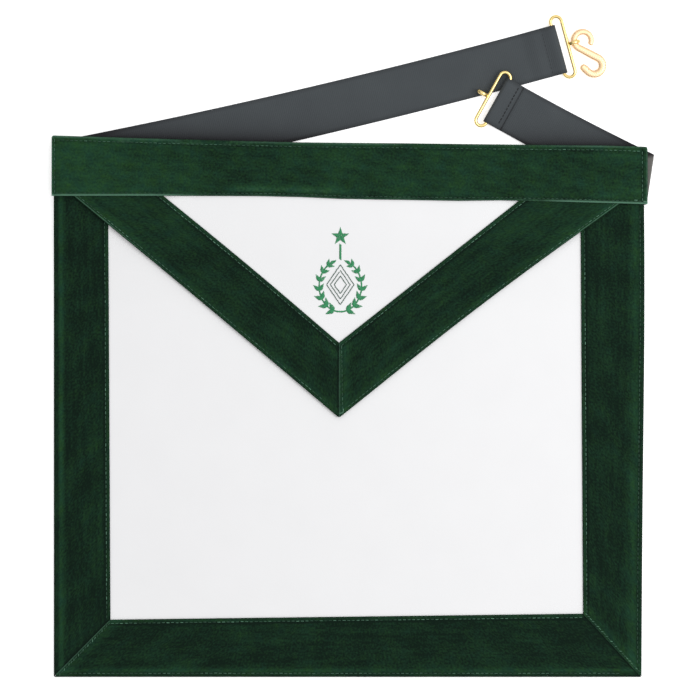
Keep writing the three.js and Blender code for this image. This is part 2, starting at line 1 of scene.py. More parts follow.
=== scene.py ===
import math

import bmesh
import bpy
import numpy as np
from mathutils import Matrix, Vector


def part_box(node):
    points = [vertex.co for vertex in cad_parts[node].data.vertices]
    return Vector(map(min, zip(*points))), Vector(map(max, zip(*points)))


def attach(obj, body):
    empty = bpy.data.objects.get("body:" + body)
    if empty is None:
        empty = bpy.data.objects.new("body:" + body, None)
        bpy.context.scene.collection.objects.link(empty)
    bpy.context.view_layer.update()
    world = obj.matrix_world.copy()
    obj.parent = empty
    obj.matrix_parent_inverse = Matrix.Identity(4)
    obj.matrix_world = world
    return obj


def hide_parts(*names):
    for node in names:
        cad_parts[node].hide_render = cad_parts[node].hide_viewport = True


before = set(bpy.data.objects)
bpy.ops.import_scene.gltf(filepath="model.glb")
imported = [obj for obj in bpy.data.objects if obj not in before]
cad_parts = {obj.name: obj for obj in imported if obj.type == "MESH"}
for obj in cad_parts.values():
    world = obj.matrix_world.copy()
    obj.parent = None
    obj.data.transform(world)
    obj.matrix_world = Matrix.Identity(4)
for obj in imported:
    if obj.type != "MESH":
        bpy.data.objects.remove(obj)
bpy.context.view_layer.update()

# The room: the apron lies face up on a lit white table, under a soft white sky that
# is brightest overhead, with one large lamp to the right. The camera looks straight
# down. Lengths are in millimetres, and meshes are made in metres.
mm = 0.001
view_middle = (-2.0, -1.7)
view_width = 479.5
lens, film = 400.0, 36.0

eye = bpy.data.cameras.new("eye")
eye.lens = lens
eye.sensor_width = film
eye_object = bpy.data.objects.new("eye", eye)
eye_object.location = (view_middle[0] * mm, view_middle[1] * mm, view_width * mm * lens / film)
bpy.context.scene.collection.objects.link(eye_object)
bpy.context.scene.camera = eye_object
bpy.context.scene.view_settings.view_transform = "Standard"

sky = bpy.data.worlds.new("sky")
sky.use_nodes = True
bpy.context.scene.world = sky
sky_nodes, sky_links = sky.node_tree.nodes, sky.node_tree.links
sky_way = sky_nodes.new("ShaderNodeTexCoord")
sky_height = sky_nodes.new("ShaderNodeVectorMath")
sky_height.operation = "DOT_PRODUCT"
sky_height.inputs[1].default_value = (0.26, 0.12, 0.95)
sky_ramp = sky_nodes.new("ShaderNodeValToRGB")
sky_ramp.color_ramp.elements[0].position = 0.0
sky_ramp.color_ramp.elements[0].color = (0.10, 0.10, 0.10, 1)
sky_ramp.color_ramp.elements[1].position = 0.8
sky_ramp.color_ramp.elements[1].color = (1.12, 1.12, 1.12, 1)
sky_links.new(sky_way.outputs["Generated"], sky_height.inputs[0])
sky_links.new(sky_height.outputs["Value"], sky_ramp.inputs["Fac"])
sky_links.new(sky_ramp.outputs["Color"], sky_nodes["Background"].inputs["Color"])
sky_nodes["Background"].inputs["Strength"].default_value = 1.0

lamp = bpy.data.lights.new("lamp", "AREA")
lamp.shape = "DISK"
lamp.size, lamp.energy = 0.7, 5.5
lamp_object = bpy.data.objects.new("lamp", lamp)
lamp_object.location = (0.75, 0.1, 1.0)
lamp_object.rotation_euler = (-lamp_object.location).to_track_quat("-Z", "Y").to_euler()
bpy.context.scene.collection.objects.link(lamp_object)

table_half, table_level = 3.0, -0.0002
table_mesh = bpy.data.meshes.new("table")
table_corners = [(-table_half, -table_half), (table_half, -table_half),
                 (table_half, table_half), (-table_half, table_half)]
table_mesh.from_pydata([(x, y, table_level) for x, y in table_corners], [], [(0, 1, 2, 3)])
table = bpy.data.objects.new("table", table_mesh)
bpy.context.scene.collection.objects.link(table)


def material(name, colour, roughness, metallic=0.0, specular=0.5):
    """A new material and its nodes, with one shader already joined to the output."""
    made = bpy.data.materials.new(name)
    made.use_nodes = True
    shader = made.node_tree.nodes["Principled BSDF"]
    shader.inputs["Base Color"].default_value = (*colour, 1)
    shader.inputs["Roughness"].default_value = roughness
    shader.inputs["Metallic"].default_value = metallic
    shader.inputs["Specular IOR Level"].default_value = specular
    return made, made.node_tree, shader


white_table, _, table_shader = material("white_table", (0.93, 0.93, 0.93), 0.9, specular=0.0)
table_shader.inputs["Emission Color"].default_value = (1, 1, 1, 1)
table_shader.inputs["Emission Strength"].default_value = 0.45
table.data.materials.append(white_table)

# The apron's panel: one sheet of smooth white leather. Its edges are bound by the
# velvet borders, and its top edge is sewn into the fold of the waistband. Towards
# the waistband it rises off the table, because the belts lie behind it.
band_left, band_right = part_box("waistband")[0].x / mm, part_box("waistband")[1].x / mm
band_top_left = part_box("waistband")[1].y / mm
band_fall = 8.1
band_sag = 1.4
band_height = {"left": 41.7, "right": 39.2, "waist": 2.7}
fold_radius = 1.85
lift_height = 3.0
lift_full, lift_length = 85.9, 57.0
leather_thick = 1.1
panel_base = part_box("apron_panel")[0].z / mm
cloth_gap = 0.3


def smooth(value):
    value = np.clip(value, 0, 1)
    return value * value * (3 - 2 * value)


def lerp(a, b, share):
    return a + (b - a) * share


def unit(vector):
    return vector / np.linalg.norm(vector)


def band_top(x):
    share = (x - band_left) / (band_right - band_left)
    return band_top_left - band_fall * share - band_sag * 4 * share * (1 - share)


def band_low(x):
    share = (x - band_left) / (band_right - band_left)
    height = lerp(band_height["left"], band_height["right"], share)
    return band_top(x) - height + band_height["waist"] * 4 * share * (1 - share)


def lift(y):
    return lift_height * smooth((y - lift_full + lift_length) / lift_length)


def ripple(along, across, wave, seed):
    """Soft unevenness between -1 and 1, the same on each run."""
    turns = 2 * math.pi / wave
    return (np.sin(turns * along + seed) * np.cos(0.7 * turns * across + 2.1 * seed)
            + np.sin(0.43 * turns * along + 1.3 * turns * across + 5.3 * seed)) / 2


def skin(name, rings, closed=False, lines=None):
    """A mesh through rings of points in millimetres, with a face on each open end.

    Each of lines is a name and a value for every point, kept for the material."""
    rings = np.asarray(rings, float)
    count, around = rings.shape[:2]
    index = np.arange(count * around).reshape(count, around)
    here = index if closed else index[:-1]
    after = np.roll(index, -1, 0) if closed else index[1:]
    faces = quads_between(here, after, 1)
    if not closed:
        faces += [index[0][::-1].tolist(), index[-1].tolist()]
    return smooth_mesh(name, rings.reshape(-1, 3), faces, lines or {})


def quads_between(here, after, axis):
    quads = np.stack([here, np.roll(here, -1, axis), np.roll(after, -1, axis), after], -1)
    return quads.reshape(-1, 4).tolist()


def smooth_mesh(name, corners, faces, lines):
    made = bpy.data.meshes.new(name)
    made.from_pydata((corners * mm).tolist(), [], faces)
    shaped = bmesh.new()
    shaped.from_mesh(made)
    bmesh.ops.recalc_face_normals(shaped, faces=shaped.faces)
    shaped.to_mesh(made)
    shaped.free()
    made.update()
    for line, values in lines.items():
        values = np.asarray(values, float)
        kind, field = ("FLOAT_VECTOR", "vector") if values.ndim == 3 else ("FLOAT", "value")
        made.attributes.new(line, kind, "POINT").data.foreach_set(field, values.reshape(-1))
    made.polygons.foreach_set("use_smooth", [True] * len(made.polygons))
    piece = bpy.data.objects.new(name, made)
    bpy.context.scene.collection.objects.link(piece)
    return piece


def dress(piece, cloth, slot, *nodes, body="apron"):
    """Gives a piece its material and the body that carries it, and hides the CAD nodes it stands in for."""
    piece.data.materials.append(cloth)
    if nodes:
        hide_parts(*nodes)
    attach(piece, body)


def new_group(name, inputs, outputs):
    group = bpy.data.node_groups.new(name, "ShaderNodeTree")
    for socket, kind in inputs.items():
        group.interface.new_socket(socket, in_out="INPUT", socket_type=kind)
    for socket, kind in outputs.items():
        group.interface.new_socket(socket, in_out="OUTPUT", socket_type=kind)
    return group, group.nodes.new("NodeGroupInput"), group.nodes.new("NodeGroupOutput")


# Mottle is uneven colour in cloth and leather: broad patches and fine streaks that
# run the way the cloth was cut.
mottle, mottle_in, mottle_out = new_group(
    "mottle",
    {"Place": "NodeSocketVector", "Patch": "NodeSocketFloat", "Streak": "NodeSocketFloat",
     "Grain": "NodeSocketFloat"},
    {"Patches": "NodeSocketFloat", "Streaks": "NodeSocketFloat", "Grains": "NodeSocketFloat"})
for source, socket, stretch in (("Patch", "Patches", (1, 1, 1)), ("Streak", "Streaks", (0.12, 1, 1)),
                                ("Grain", "Grains", (1, 1, 1))):
    spread = mottle.nodes.new("ShaderNodeVectorMath")
    spread.operation = "MULTIPLY"
    spread.inputs[1].default_value = stretch
    noise = mottle.nodes.new("ShaderNodeTexNoise")
    noise.inputs["Detail"].default_value = 3
    mottle.links.new(mottle_in.outputs["Place"], spread.inputs[0])
    mottle.links.new(spread.outputs[0], noise.inputs["Vector"])
    mottle.links.new(mottle_in.outputs[source], noise.inputs["Scale"])
    mottle.links.new(noise.outputs["Fac"], mottle_out.inputs[socket])


def use_mottle(tree, place, patch, streak, grain):
    """Places the mottle group. Its sizes are in waves a millimetre."""
    node = tree.nodes.new("ShaderNodeGroup")
    node.node_tree = mottle
    node.inputs["Patch"].default_value = patch
    node.inputs["Streak"].default_value = streak
    node.inputs["Grain"].default_value = grain
    tree.links.new(place, node.inputs["Place"])
    return node


def cloth_line(tree, name, output="Fac"):
    """A value kept on the mesh, such as how far along and across the cloth a point is."""
    node = tree.nodes.new("ShaderNodeAttribute")
    node.attribute_name = name
    return node.outputs[output]


def sum_of(tree, *parts):
    """Adds values, each given as an output and its share, and limits them to 0 and 1."""
    total = None
    for output, share, offset in parts:
        node = tree.nodes.new("ShaderNodeMath")
        node.operation = "MULTIPLY_ADD"
        tree.links.new(output, node.inputs[0])
        node.inputs[1].default_value = share
        node.inputs[2].default_value = offset
        if total is not None:
            joined = tree.nodes.new("ShaderNodeMath")
            joined.operation = "ADD"
            tree.links.new(total, joined.inputs[0])
            tree.links.new(node.outputs[0], joined.inputs[1])
            node = joined
        total = node.outputs[0]
    node.use_clamp = True
    return total


def blend_colours(tree, first, second, factor):
    node = tree.nodes.new("ShaderNodeMix")
    node.data_type = "RGBA"
    for socket, value in (("A", first), ("B", second)):
        target = [s for s in node.inputs if s.name == socket and s.type == "RGBA"][0]
        if isinstance(value, tuple):
            target.default_value = (*value, 1)
        else:
            tree.links.new(value, target)
    tree.links.new(factor, [s for s in node.inputs if s.name == "Factor"][0])
    return [s for s in node.outputs if s.type == "RGBA"][0]


def raise_surface(tree, shader, height, distance, strength):
    """Joins a height to the shader as fine relief. distance is in millimetres."""
    bump = tree.nodes.new("ShaderNodeBump")
    bump.inputs["Strength"].default_value = strength
    bump.inputs["Distance"].default_value = distance * mm
    tree.links.new(height, bump.inputs["Height"])
    tree.links.new(bump.outputs["Normal"], shader.inputs["Normal"])


leather, leather_tree, leather_shader = material("white_leather", (0.78, 0.78, 0.79), 0.5, specular=0.35)
leather_place = cloth_line(leather_tree, "cloth", "Vector")
leather_mottle = use_mottle(leather_tree, leather_place, patch=0.035, streak=0.4, grain=1.5)
leather_tone = sum_of(leather_tree, (leather_mottle.outputs["Patches"], 0.8, 0.0),
                      (leather_mottle.outputs["Grains"], 0.2, 0.0))
leather_tree.links.new(
    blend_colours(leather_tree, (0.765, 0.765, 0.775), (0.80, 0.80, 0.81), leather_tone),
    leather_shader.inputs["Base Color"])
leather_cells = leather_tree.nodes.new("ShaderNodeTexVoronoi")
leather_cells.feature = "SMOOTH_F1"
leather_cells.inputs["Scale"].default_value = 1.1
leather_tree.links.new(leather_place, leather_cells.inputs["Vector"])
raise_surface(leather_tree, leather_shader, sum_of(
    leather_tree, (leather_cells.outputs["Distance"], 0.7, 0.0),
    (leather_mottle.outputs["Grains"], 0.3, 0.0)), 0.06, 0.5)


def leather_wave(x, y):
    return 0.1 * ripple(x, y, 90, 1.0)


def leather_sheet(name, place, base, thick, columns, rows):
    """A flat sheet. place turns two shares into a plan point, and base is its underside."""
    u, v = np.meshgrid(np.linspace(0, 1, columns), np.linspace(0, 1, rows), indexing="ij")
    x, y = place(u, v)
    low = base(x, y)
    top = np.stack([x, y, low + thick + leather_wave(x, y)], -1)
    under = np.stack([x, y, low + leather_wave(x, y)], -1)[:, ::-4]
    plan = np.stack([x, y, 0 * x], -1)
    cloth = np.concatenate([plan, plan[:, ::-4]], 1)
    return skin(name, np.concatenate([top, under], 1), lines={"cloth": cloth})


panel_left, panel_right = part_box("apron_panel")[0].x / mm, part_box("apron_panel")[1].x / mm
panel_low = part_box("apron_panel")[0].y / mm
panel_taper = 1.9


def panel_place(u, v):
    right = panel_right - panel_taper * (1 - v)
    x = lerp(panel_left, right, u)
    return x, lerp(panel_low, band_top(x) - fold_radius, v)


panel = leather_sheet("panel", panel_place, lambda x, y: lift(y) + panel_base, leather_thick, 150, 141)
dress(panel, leather, "white_leather", "apron_panel")

# The borders: three strips of dark green velvet, each wrapped round the panel's
# edge to a narrow hem behind and sewn down along its inner edge. They meet at a
# slant in the lower corners, where one strip's folded end lies over the other.
velvet_dark, velvet_highlight = (0.0046, 0.0125, 0.0078), (0.110, 0.230, 0.160)
velvet_leaf, velvet_teal = (0.0185, 0.0620, 0.0165), (0.0125, 0.0500, 0.0290)
thread_dark, thread_light = (0.016, 0.050, 0.030), (0.12, 0.27, 0.18)
velvet_thick = 1.0
mitre_shine = {"border_left": 0.0, "border_right": 0.13, "border_bottom": 0.33, "flap": 0.28}
# The pale line on each border, wear in the pile with a painted sheen on it: its distance from the outer edge,
# reach and strength
border_wear_and_highlight = {"border_left": (4.9, 2.3, 0.68), "border_right": (6.0, 4.0, 0.46),
               "border_bottom": (3.9, 2.5, 0.60)}
border_width = {"left": (38.8, 37.3), "right": (40.0, 43.6), "bottom": (39.3, 43.4)}
hem_width = 10.0
seam_inset, seam_reach, seam_depth = 2.6, 6.0, 0.42
crown_height, under_depth, mitre_lap = 0.16, 0.75, 0.45
stitch_pitch, stitch_length, thread_radius = 3.2, 2.3, 0.22
thread_wander = np.array([0.07, 0.07, 0.03])

velvet, velvet_tree, velvet_shader = material("green_velvet", velvet_leaf, 0.9, specular=0.05)
velvet_shader.inputs["Sheen Weight"].default_value = 0.14
velvet_shader.inputs["Sheen Roughness"].default_value = 0.35
velvet_shader.inputs["Sheen Tint"].default_value = (0.35, 0.62, 0.45, 1)
velvet_place = cloth_line(velvet_tree, "cloth", "Vector")
velvet_mottle = use_mottle(velvet_tree, velvet_place, patch=0.05, streak=0.30, grain=0.70)
velvet_tint = use_mottle(velvet_tree, velvet_place, patch=0.12, streak=0.16, grain=0.35)
# The pile's mix of dark and light colour carries painted light and shade from the mesh, as well as its own
# uneven colour.
velvet_nap_and_painted_light = sum_of(velvet_tree, (cloth_line(velvet_tree, "nap_and_painted_light"), 1.0, 0.0),
                    (velvet_mottle.outputs["Patches"], 0.8, -0.4),
                    (velvet_mottle.outputs["Streaks"], 0.6, -0.3),
                    (velvet_mottle.outputs["Grains"], 1.3, -0.65))
velvet_hue = sum_of(velvet_tree, (velvet_tint.outputs["Patches"], 1.8, -0.5),
                    (velvet_tint.outputs["Grains"], 1.2, -0.6))
# The pale ridges are painted highlights along the velvet's folded edges.
velvet_ridge_highlight = sum_of(velvet_tree, (cloth_line(velvet_tree, "ridge_highlight"), 1.0, 0.0),
                      (velvet_tint.outputs["Grains"], 0.2, -0.16))
# Base colour: the pile's own uneven colour, painted paler and darker as painted light and shade, with painted
# highlights on the folded edges.
velvet_tree.links.new(
    blend_colours(velvet_tree, blend_colours(
        velvet_tree, velvet_dark, blend_colours(velvet_tree, velvet_teal, velvet_leaf, velvet_hue),
        velvet_nap_and_painted_light), velvet_highlight, velvet_ridge_highlight),
    velvet_shader.inputs["Base Color"])
raise_surface(velvet_tree, velvet_shader, sum_of(
    velvet_tree, (velvet_mottle.outputs["Grains"], 0.7, 0.0),
    (velvet_mottle.outputs["Streaks"], 0.3, 0.0)), 0.5, 0.6)

thread, thread_tree, thread_shader = material("sewing_thread", thread_dark, 0.6, specular=0.3)
# Each stitch's colour is blended from dark to light by a painted shine kept on the mesh: painted shade for
# stitches deep in the pile, painted highlights for the rest.
thread_tree.links.new(
    blend_colours(thread_tree, thread_dark, thread_light, cloth_line(thread_tree, "painted_shine")),
    thread_shader.inputs["Base Color"])


def steps_to(length, step, fine, reach):
    """Shares of a length, close together near both ends."""
    ends = np.arange(0, reach, fine)
    middle = np.linspace(reach, length - reach, max(2, int((length - 2 * reach) / step)))
    return np.concatenate([ends, middle, length - ends[::-1]]) / length


def bell(distance, width):
    return np.exp(-(distance / width) ** 2)


class Strip:
    """A velvet strip between two cuts. Each cut is its outer and its inner plan
    point, and ends says how each lies: over its neighbour, under it, or hidden.

    bow is how far its outer and its inner edge curve in, and a power that moves the
    curve's deepest place along it. round_tip is the x and the radius of a tip rounded by wear."""

    def __init__(self, first, last, widths, base, ends, seed, bow=(0.0, 0.0, 1.0), round_tip=None):
        self.first = [np.array(p, float) for p in first]
        self.last = [np.array(p, float) for p in last]
        self.widths, self.base, self.ends, self.seed = widths, base, ends, seed
        self.outer_bow, self.inner_bow, self.bow_place = bow
        self.round_tip = round_tip
        run = (sum(self.last) - sum(self.first)) / 2
        self.length = float(np.linalg.norm(run))
        cut = unit(self.first[1] - self.first[0])
        self.square = abs(cut[0] * run[1] - cut[1] * run[0]) / self.length
        self.lap = mitre_lap if ends[0] == "over" else 0.0
        self.inward = unit(np.array([-run[1], run[0]]) * np.sign(run[0] * cut[1] - run[1] * cut[0]))

    def plan(self, share, across, shown=1):
        """Plan points. Where shown is 1, an end that lies over its neighbour laps past its cut."""
        width = lerp(*self.widths, share)
        share = share - shown * (1 - share) * self.lap / self.square / self.length
        part = (across / width)[..., None]
        a = lerp(self.first[0], self.first[1], part)
        b = lerp(self.last[0], self.last[1], part)
        spot = lerp(a, b, share[..., None])
        bow = np.sin(math.pi * np.clip(share, 0, 1) ** self.bow_place) ** 1.2
        spot = spot + self.inward * (bow[..., None] * lerp(self.outer_bow, self.inner_bow, part))
        if self.round_tip is not None:
            tip, radius = self.round_tip
            near = np.clip(radius - np.abs(spot[..., 0] - tip), 0, None)
            spot[..., 1] += near ** 2 / (2.2 * radius) * np.exp(-across / radius)
        return spot

    def from_cut(self, spot, cut):
        """Distance from a cut, or from the end that laps past it."""
        way = unit(cut[1] - cut[0])
        inside = (sum(self.first) + sum(self.last)) / 4 - cut[0]
        side = np.sign(inside[0] * way[1] - inside[1] * way[0])
        away = side * ((spot[..., 0] - cut[0][0]) * way[1] - (spot[..., 1] - cut[0][1]) * way[0])
        return away + (self.lap if cut is self.first else 0.0)

    def relief(self, share, across, spot):
        """How far the sewn top stands above or below its even height."""
        width = lerp(*self.widths, share)
        along = share * self.length
        inner = width - across
        pull = 0.75 + 0.25 * np.cos(2 * math.pi * along / stitch_pitch)
        height = crown_height * np.sin(math.pi * np.clip(across / width, 0, 1)) ** 0.7
        height = height + 0.07 * ripple(along, across, 23, self.seed)
        height = height - seam_depth * pull * bell(inner - seam_inset, 0.75)
        for cut, lies in zip((self.first, self.last), self.ends):
            away = self.from_cut(spot, cut)
            if lies == "over":
                height = height + 0.25 * bell(away - 1.2, 0.8) - 0.3 * bell(away - 2.7, 0.6)
                height = height - 0.3 * (1 - np.sqrt(1 - (1 - np.clip(away / 0.5, 0, 1)) ** 2))
            if lies == "under":
                height = height - under_depth * (1 - smooth(away / 2.4))
        return height

    def top(self, share, across, height):
        """Points on the sewn top, height being the even one."""
        spot = self.plan(share, across)
        level = self.base(spot[..., 0], spot[..., 1]) + height + self.relief(share, across, spot)
        return np.concatenate([spot, level[..., None]], -1)


def strip_mesh(name, strip, before, front, behind, top_height, shade):
    """before and behind are the section's points out of sight, as distances from the
    outer edge and heights, and front are the shares across its sewn top."""
    share = steps_to(strip.length, step=1.1, fine=0.25, reach=5.0)
    width = lerp(*strip.widths, share)[:, None]
    section = ([(*place, 0) for place in before] + [(place, top_height, 1) for place in front]
               + [(*place, 0) for place in behind])
    across = np.concatenate([place(width) + 0 * width for place, _, _ in section], 1)
    height = np.array([level for _, level, _ in section])
    shown = np.array([seen for _, _, seen in section])
    shares = share[:, None] + 0 * across
    spot = strip.plan(shares, across, shown)
    relief = strip.relief(shares, across, spot) * shown
    level = strip.base(spot[..., 0], spot[..., 1]) + height + relief
    rings = np.concatenate([spot, level[..., None]], -1)
    along = shares * strip.length
    nap_and_painted_light, ridge_highlight = shade(strip, shares, across, spot, shown)
    line = np.stack([along + 400 * strip.seed, across, 0 * across], -1)
    return skin(name, rings, lines={"cloth": line, "nap_and_painted_light": nap_and_painted_light, "ridge_highlight": ridge_highlight})


def at_outer(distance):
    return lambda width: distance


def at_inner(distance):
    return lambda width: width - distance


def spread_front(start, stop_inset, count):
    """Places across a strip's sewn top, close together near its inner seam."""
    even = [(lambda width, part=part: lerp(start, width - seam_reach, part))
            for part in np.linspace(0, 1, count)]
    return even + [at_inner(inset) for inset in np.arange(seam_reach - 0.4, stop_inset, -0.4)]


border_top, border_under = 3.7, 2.7
fold_points = [(at_outer(fold_radius * (1 - math.cos(angle))), fold_radius * (1 + math.sin(angle)))
               for angle in np.linspace(-math.pi / 2, math.pi / 2, 13)]
border_before = [(at_outer(hem_width), 0.25), (at_outer(hem_width - 0.3), 0.0), (at_outer(6), 0.0),
                 *fold_points[:-1]]
border_front = spread_front(fold_radius, 0.5, 30)
border_behind = [(at_inner(0.32), border_top - 0.06), (at_inner(0.1), border_top - 0.28),
                 (at_inner(0.0), border_top - 0.6), (at_inner(0.2), border_top - 0.95),
                 (at_inner(3.0), border_under), (at_inner(12), border_under), (at_outer(4), border_under),
                 (at_outer(1.6), border_under), (at_outer(1.05), border_under - 0.3),
                 (at_outer(1.05), velvet_thick + 0.3), (at_outer(1.6), velvet_thick),
                 (at_outer(6), velvet_thick), (at_outer(hem_width - 0.3), velvet_thick),
                 (at_outer(hem_width), velvet_thick - 0.25)]


def border_shade(strip, share, across, spot, shown):
    """Velvet with painted light: a pale line of wear in the pile with a painted sheen on it, painted
    highlights along its folded edges and where it laps its neighbour, and painted shade beside its seam, just
    inside its outer fold and where its neighbour laps over it.
    """
    width = lerp(*strip.widths, share)
    inner = width - across
    along = share * strip.length
    worn = 0.8 + 0.2 * ripple(along, 0 * along, 70, strip.seed)
    middle, reach, shine = strip.worn_line
    nap_and_painted_light = 0.16 + shine * worn * bell(across - middle, reach) + 0.26 * bell(inner - 1.0, 1.5)
    nap_and_painted_light = nap_and_painted_light - 0.35 * bell(inner - seam_inset - 0.9, 0.8) - 0.35 * bell(across - 2.6, 0.6)
    ridge_highlight = 0.13 * worn * bell(across - 1.1, 0.5)
    for cut, lies in zip((strip.first, strip.last), strip.ends):
        away = strip.from_cut(spot, cut)
        if lies == "over":
            nap_and_painted_light = nap_and_painted_light + 0.35 * bell(away - 3.0, 4.5)
            ridge_highlight = ridge_highlight + strip.shine * bell(away - 0.35, 0.55)
        if lies == "under":
            nap_and_painted_light = nap_and_painted_light - 0.3 * bell(away, 1.6)
    return nap_and_painted_light, ridge_highlight * shown


border_left_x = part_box("border_left")[0].x / mm
border_low_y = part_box("border_bottom")[0].y / mm
border_right_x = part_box("border_right")[1].x / mm
corner_gap = 0.15
border_right_low_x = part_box("border_bottom")[1].x / mm + corner_gap
border_top_inset = 2.4


def border_cut(outer_x, inner_x):
    return [(x, band_low(x) + border_top_inset) for x in (outer_x, inner_x)]


left_corner = ((border_left_x, border_low_y),
               (border_left_x + border_width["left"][0], border_low_y + border_width["bottom"][0]))
right_corner = ((border_right_low_x, border_low_y),
                (border_right_low_x - border_width["right"][0], border_low_y + border_width["bottom"][1]))


def moved(points, x, y):
    return [(point[0] + x, point[1] + y) for point in points]


def border_base(x, y):
    return lift(y)


left_cut = border_cut(border_left_x, border_left_x + border_width["left"][1])
right_cut = border_cut(border_right_x, border_right_x - border_width["right"][1])
border_strips = {
    "border_left": Strip(
        moved(left_corner, 0, corner_gap), left_cut,
        border_width["left"], border_base, ("under", "hidden"), 0.3),
    "border_right": Strip(
        moved(right_corner, 0, corner_gap), right_cut,
        border_width["right"], border_base, ("over", "hidden"), 1.7, bow=(-0.8, 0.0, 2.2)),
    "border_bottom": Strip(
        moved(left_corner, corner_gap, 0), moved(right_corner, -corner_gap, 0),
        border_width["bottom"], border_base, ("over", "under"), 2.9),
}
for name, strip in border_strips.items():
    strip.shine, strip.worn_line = mitre_shine[name], border_wear_and_highlight[name]
    piece = strip_mesh(name.replace("border", "velvet"), strip, border_before, border_front, border_behind,
                       border_top, border_shade)
    dress(piece, velvet, "green_velvet", name)


def along_path(points, distance):
    """Points at given distances along a row of points."""
    points = np.asarray(points, float)
    legs = np.linalg.norm(np.diff(points, axis=0), axis=1)
    travel = np.concatenate([[0], np.cumsum(legs)])
    return np.stack([np.interp(distance, travel, points[:, k]) for k in range(3)], -1), travel[-1]


def running_stitches(points, pitch=stitch_pitch, length=stitch_length, radius=thread_radius):
    """Short threads that lie on a row of points and dip into the cloth at their ends."""
    whole = along_path(points, 0.0)[1]
    middles = np.arange(pitch / 2, whole - length / 2, pitch)
    part = np.linspace(-1, 1, 7)
    spots, _ = along_path(points, (middles[:, None] + part * length / 2).reshape(-1))
    spots = spots.reshape(len(middles), len(part), 3)
    spots[..., 2] += radius * (1.7 * np.sqrt(1 - 0.98 * part ** 2) - 0.8)
    return spots


def lean_over(spots, angle):
    """The same stitches, each turned in plan about its middle."""
    middle = spots.mean(1, keepdims=True)
    reach = spots - middle
    turned = reach.copy()
    turned[..., 0] = reach[..., 0] * math.cos(angle) - reach[..., 1] * math.sin(angle)
    turned[..., 1] = reach[..., 0] * math.sin(angle) + reach[..., 1] * math.cos(angle)
    return middle + turned


def threads(name, groups, sides=6):
    """One mesh of many short round threads. Each group is threads, a radius and a shine.

    Each thread's colour is painted darker or lighter, partly at random: dark threads stand for painted shade
    deep in the pile, and light ones for painted highlights."""
    corners, faces, tones, count = [], [], [], 0
    chance = np.random.default_rng(len(name))
    angles = np.arange(sides) * 2 * math.pi / sides
    for spots, radius, shine in groups:
        spots = spots + chance.normal(0, 1, (len(spots), 1, 3)) * thread_wander
        way = np.gradient(spots, axis=1)
        way /= np.linalg.norm(way, axis=-1, keepdims=True) + 1e-9
        side = np.cross(way, [0, 0, 1.0])
        side /= np.linalg.norm(side, axis=-1, keepdims=True) + 1e-9
        up = np.cross(side, way)
        number, long = spots.shape[:2]
        painted_shine = 0.12 + 0.34 * ripple(np.arange(number), np.arange(number), 23, 1.0 + len(tones))
        painted_shine = np.clip(shine * (painted_shine + 0.8 * chance.random(number) ** 2.2), 0, 1)
        tones.append(np.repeat(painted_shine, long * sides))
        taper = radius * (1 - 0.35 * np.linspace(-1, 1, long) ** 4)[:, None]
        rings = (spots[:, :, None] + taper[None, :, :, None] * (
            side[:, :, None] * np.cos(angles)[:, None] + up[:, :, None] * np.sin(angles)[:, None]))
        corners.append(rings.reshape(-1, 3))
        index = count + np.arange(number * long * sides).reshape(number, long, sides)
        faces += quads_between(index[:, :-1], index[:, 1:], 2)
        faces += index[:, 0, ::-1].tolist() + index[:, -1].tolist()
        count += number * long * sides
    return smooth_mesh(name, np.concatenate(corners), faces, {"painted_shine": np.concatenate(tones)})


def row_on(strip, height, inset, first, last, outer=False):
    """A row of points on a strip's top, at a distance from its inner or outer edge."""
    share = np.linspace(first, last, 300)
    width = lerp(*strip.widths, share)
    return strip.top(share, 0 * share + inset if outer else width - inset, height)


def row_by_cut(strip, height, inset, low=0.03):
    """A row of points beside a strip's first cut, across the strip."""
    part = np.linspace(low, 0.98, 80)
    share = 0 * part + inset / strip.square / strip.length
    return strip.top(share, part * lerp(*strip.widths, share), height)


border_rows = []
for name, strip in border_strips.items():
    ends = (0.008, 0.992) if name == "border_bottom" else (0.01, 0.985)
    border_rows.append((running_stitches(row_on(strip, border_top, seam_inset, *ends)), 0.95))
    if strip.ends[0] == "over":
        mitre_row = running_stitches(row_by_cut(strip, border_top, 1.7), pitch=2.3, length=1.9)
        border_rows += [(lean_over(mitre_row[0::2], 0.6), 1.25), (lean_over(mitre_row[1::2], 0.15), 0.9)]
outer_low = row_on(border_strips["border_bottom"], border_top, 2.6, 0.02, 0.97, outer=True)
outer_right = row_on(border_strips["border_right"], border_top, 3.0, 0.02, 0.98, outer=True)
border_rows += [(running_stitches(outer_low), 0.55), (running_stitches(outer_right), 0.25)]
border_thread = threads("border_stitches", [(row, thread_radius, shine) for row, shine in border_rows])
dress(border_thread, thread, "green_velvet")

# The flap: a triangle of thinner white leather that hangs from the waistband, with
# a velvet strip down each slanted edge. The right strip's folded end lies over the
# left one's at the tip.
flap_thick = 1.0
flap_drop = 150.2
flap_tip_x, tip_radius = -9.49, 1.2
flap_corner_inset = {"left": 15.1, "right": 18.7}
flap_strip_width, flap_strip_right_top = 39.5, 43.6
flap_ease, flap_ease_clear = 40.0, 2.0
tuck = 6.0
panel_top = panel_base + leather_thick
side_start = {"left": -(border_left_x + border_width["left"][1]) - flap_ease_clear - flap_ease,
              "right": border_right_x + 0.2 - border_width["right"][1] - flap_ease_clear - flap_ease}


def side_rise(x):
    return smooth(np.maximum(-x - side_start["left"], x - side_start["right"]) / flap_ease)


def flap_base(x, y):
    return lift(y) + panel_top + cloth_gap + (velvet_thick + cloth_gap) * side_rise(x)


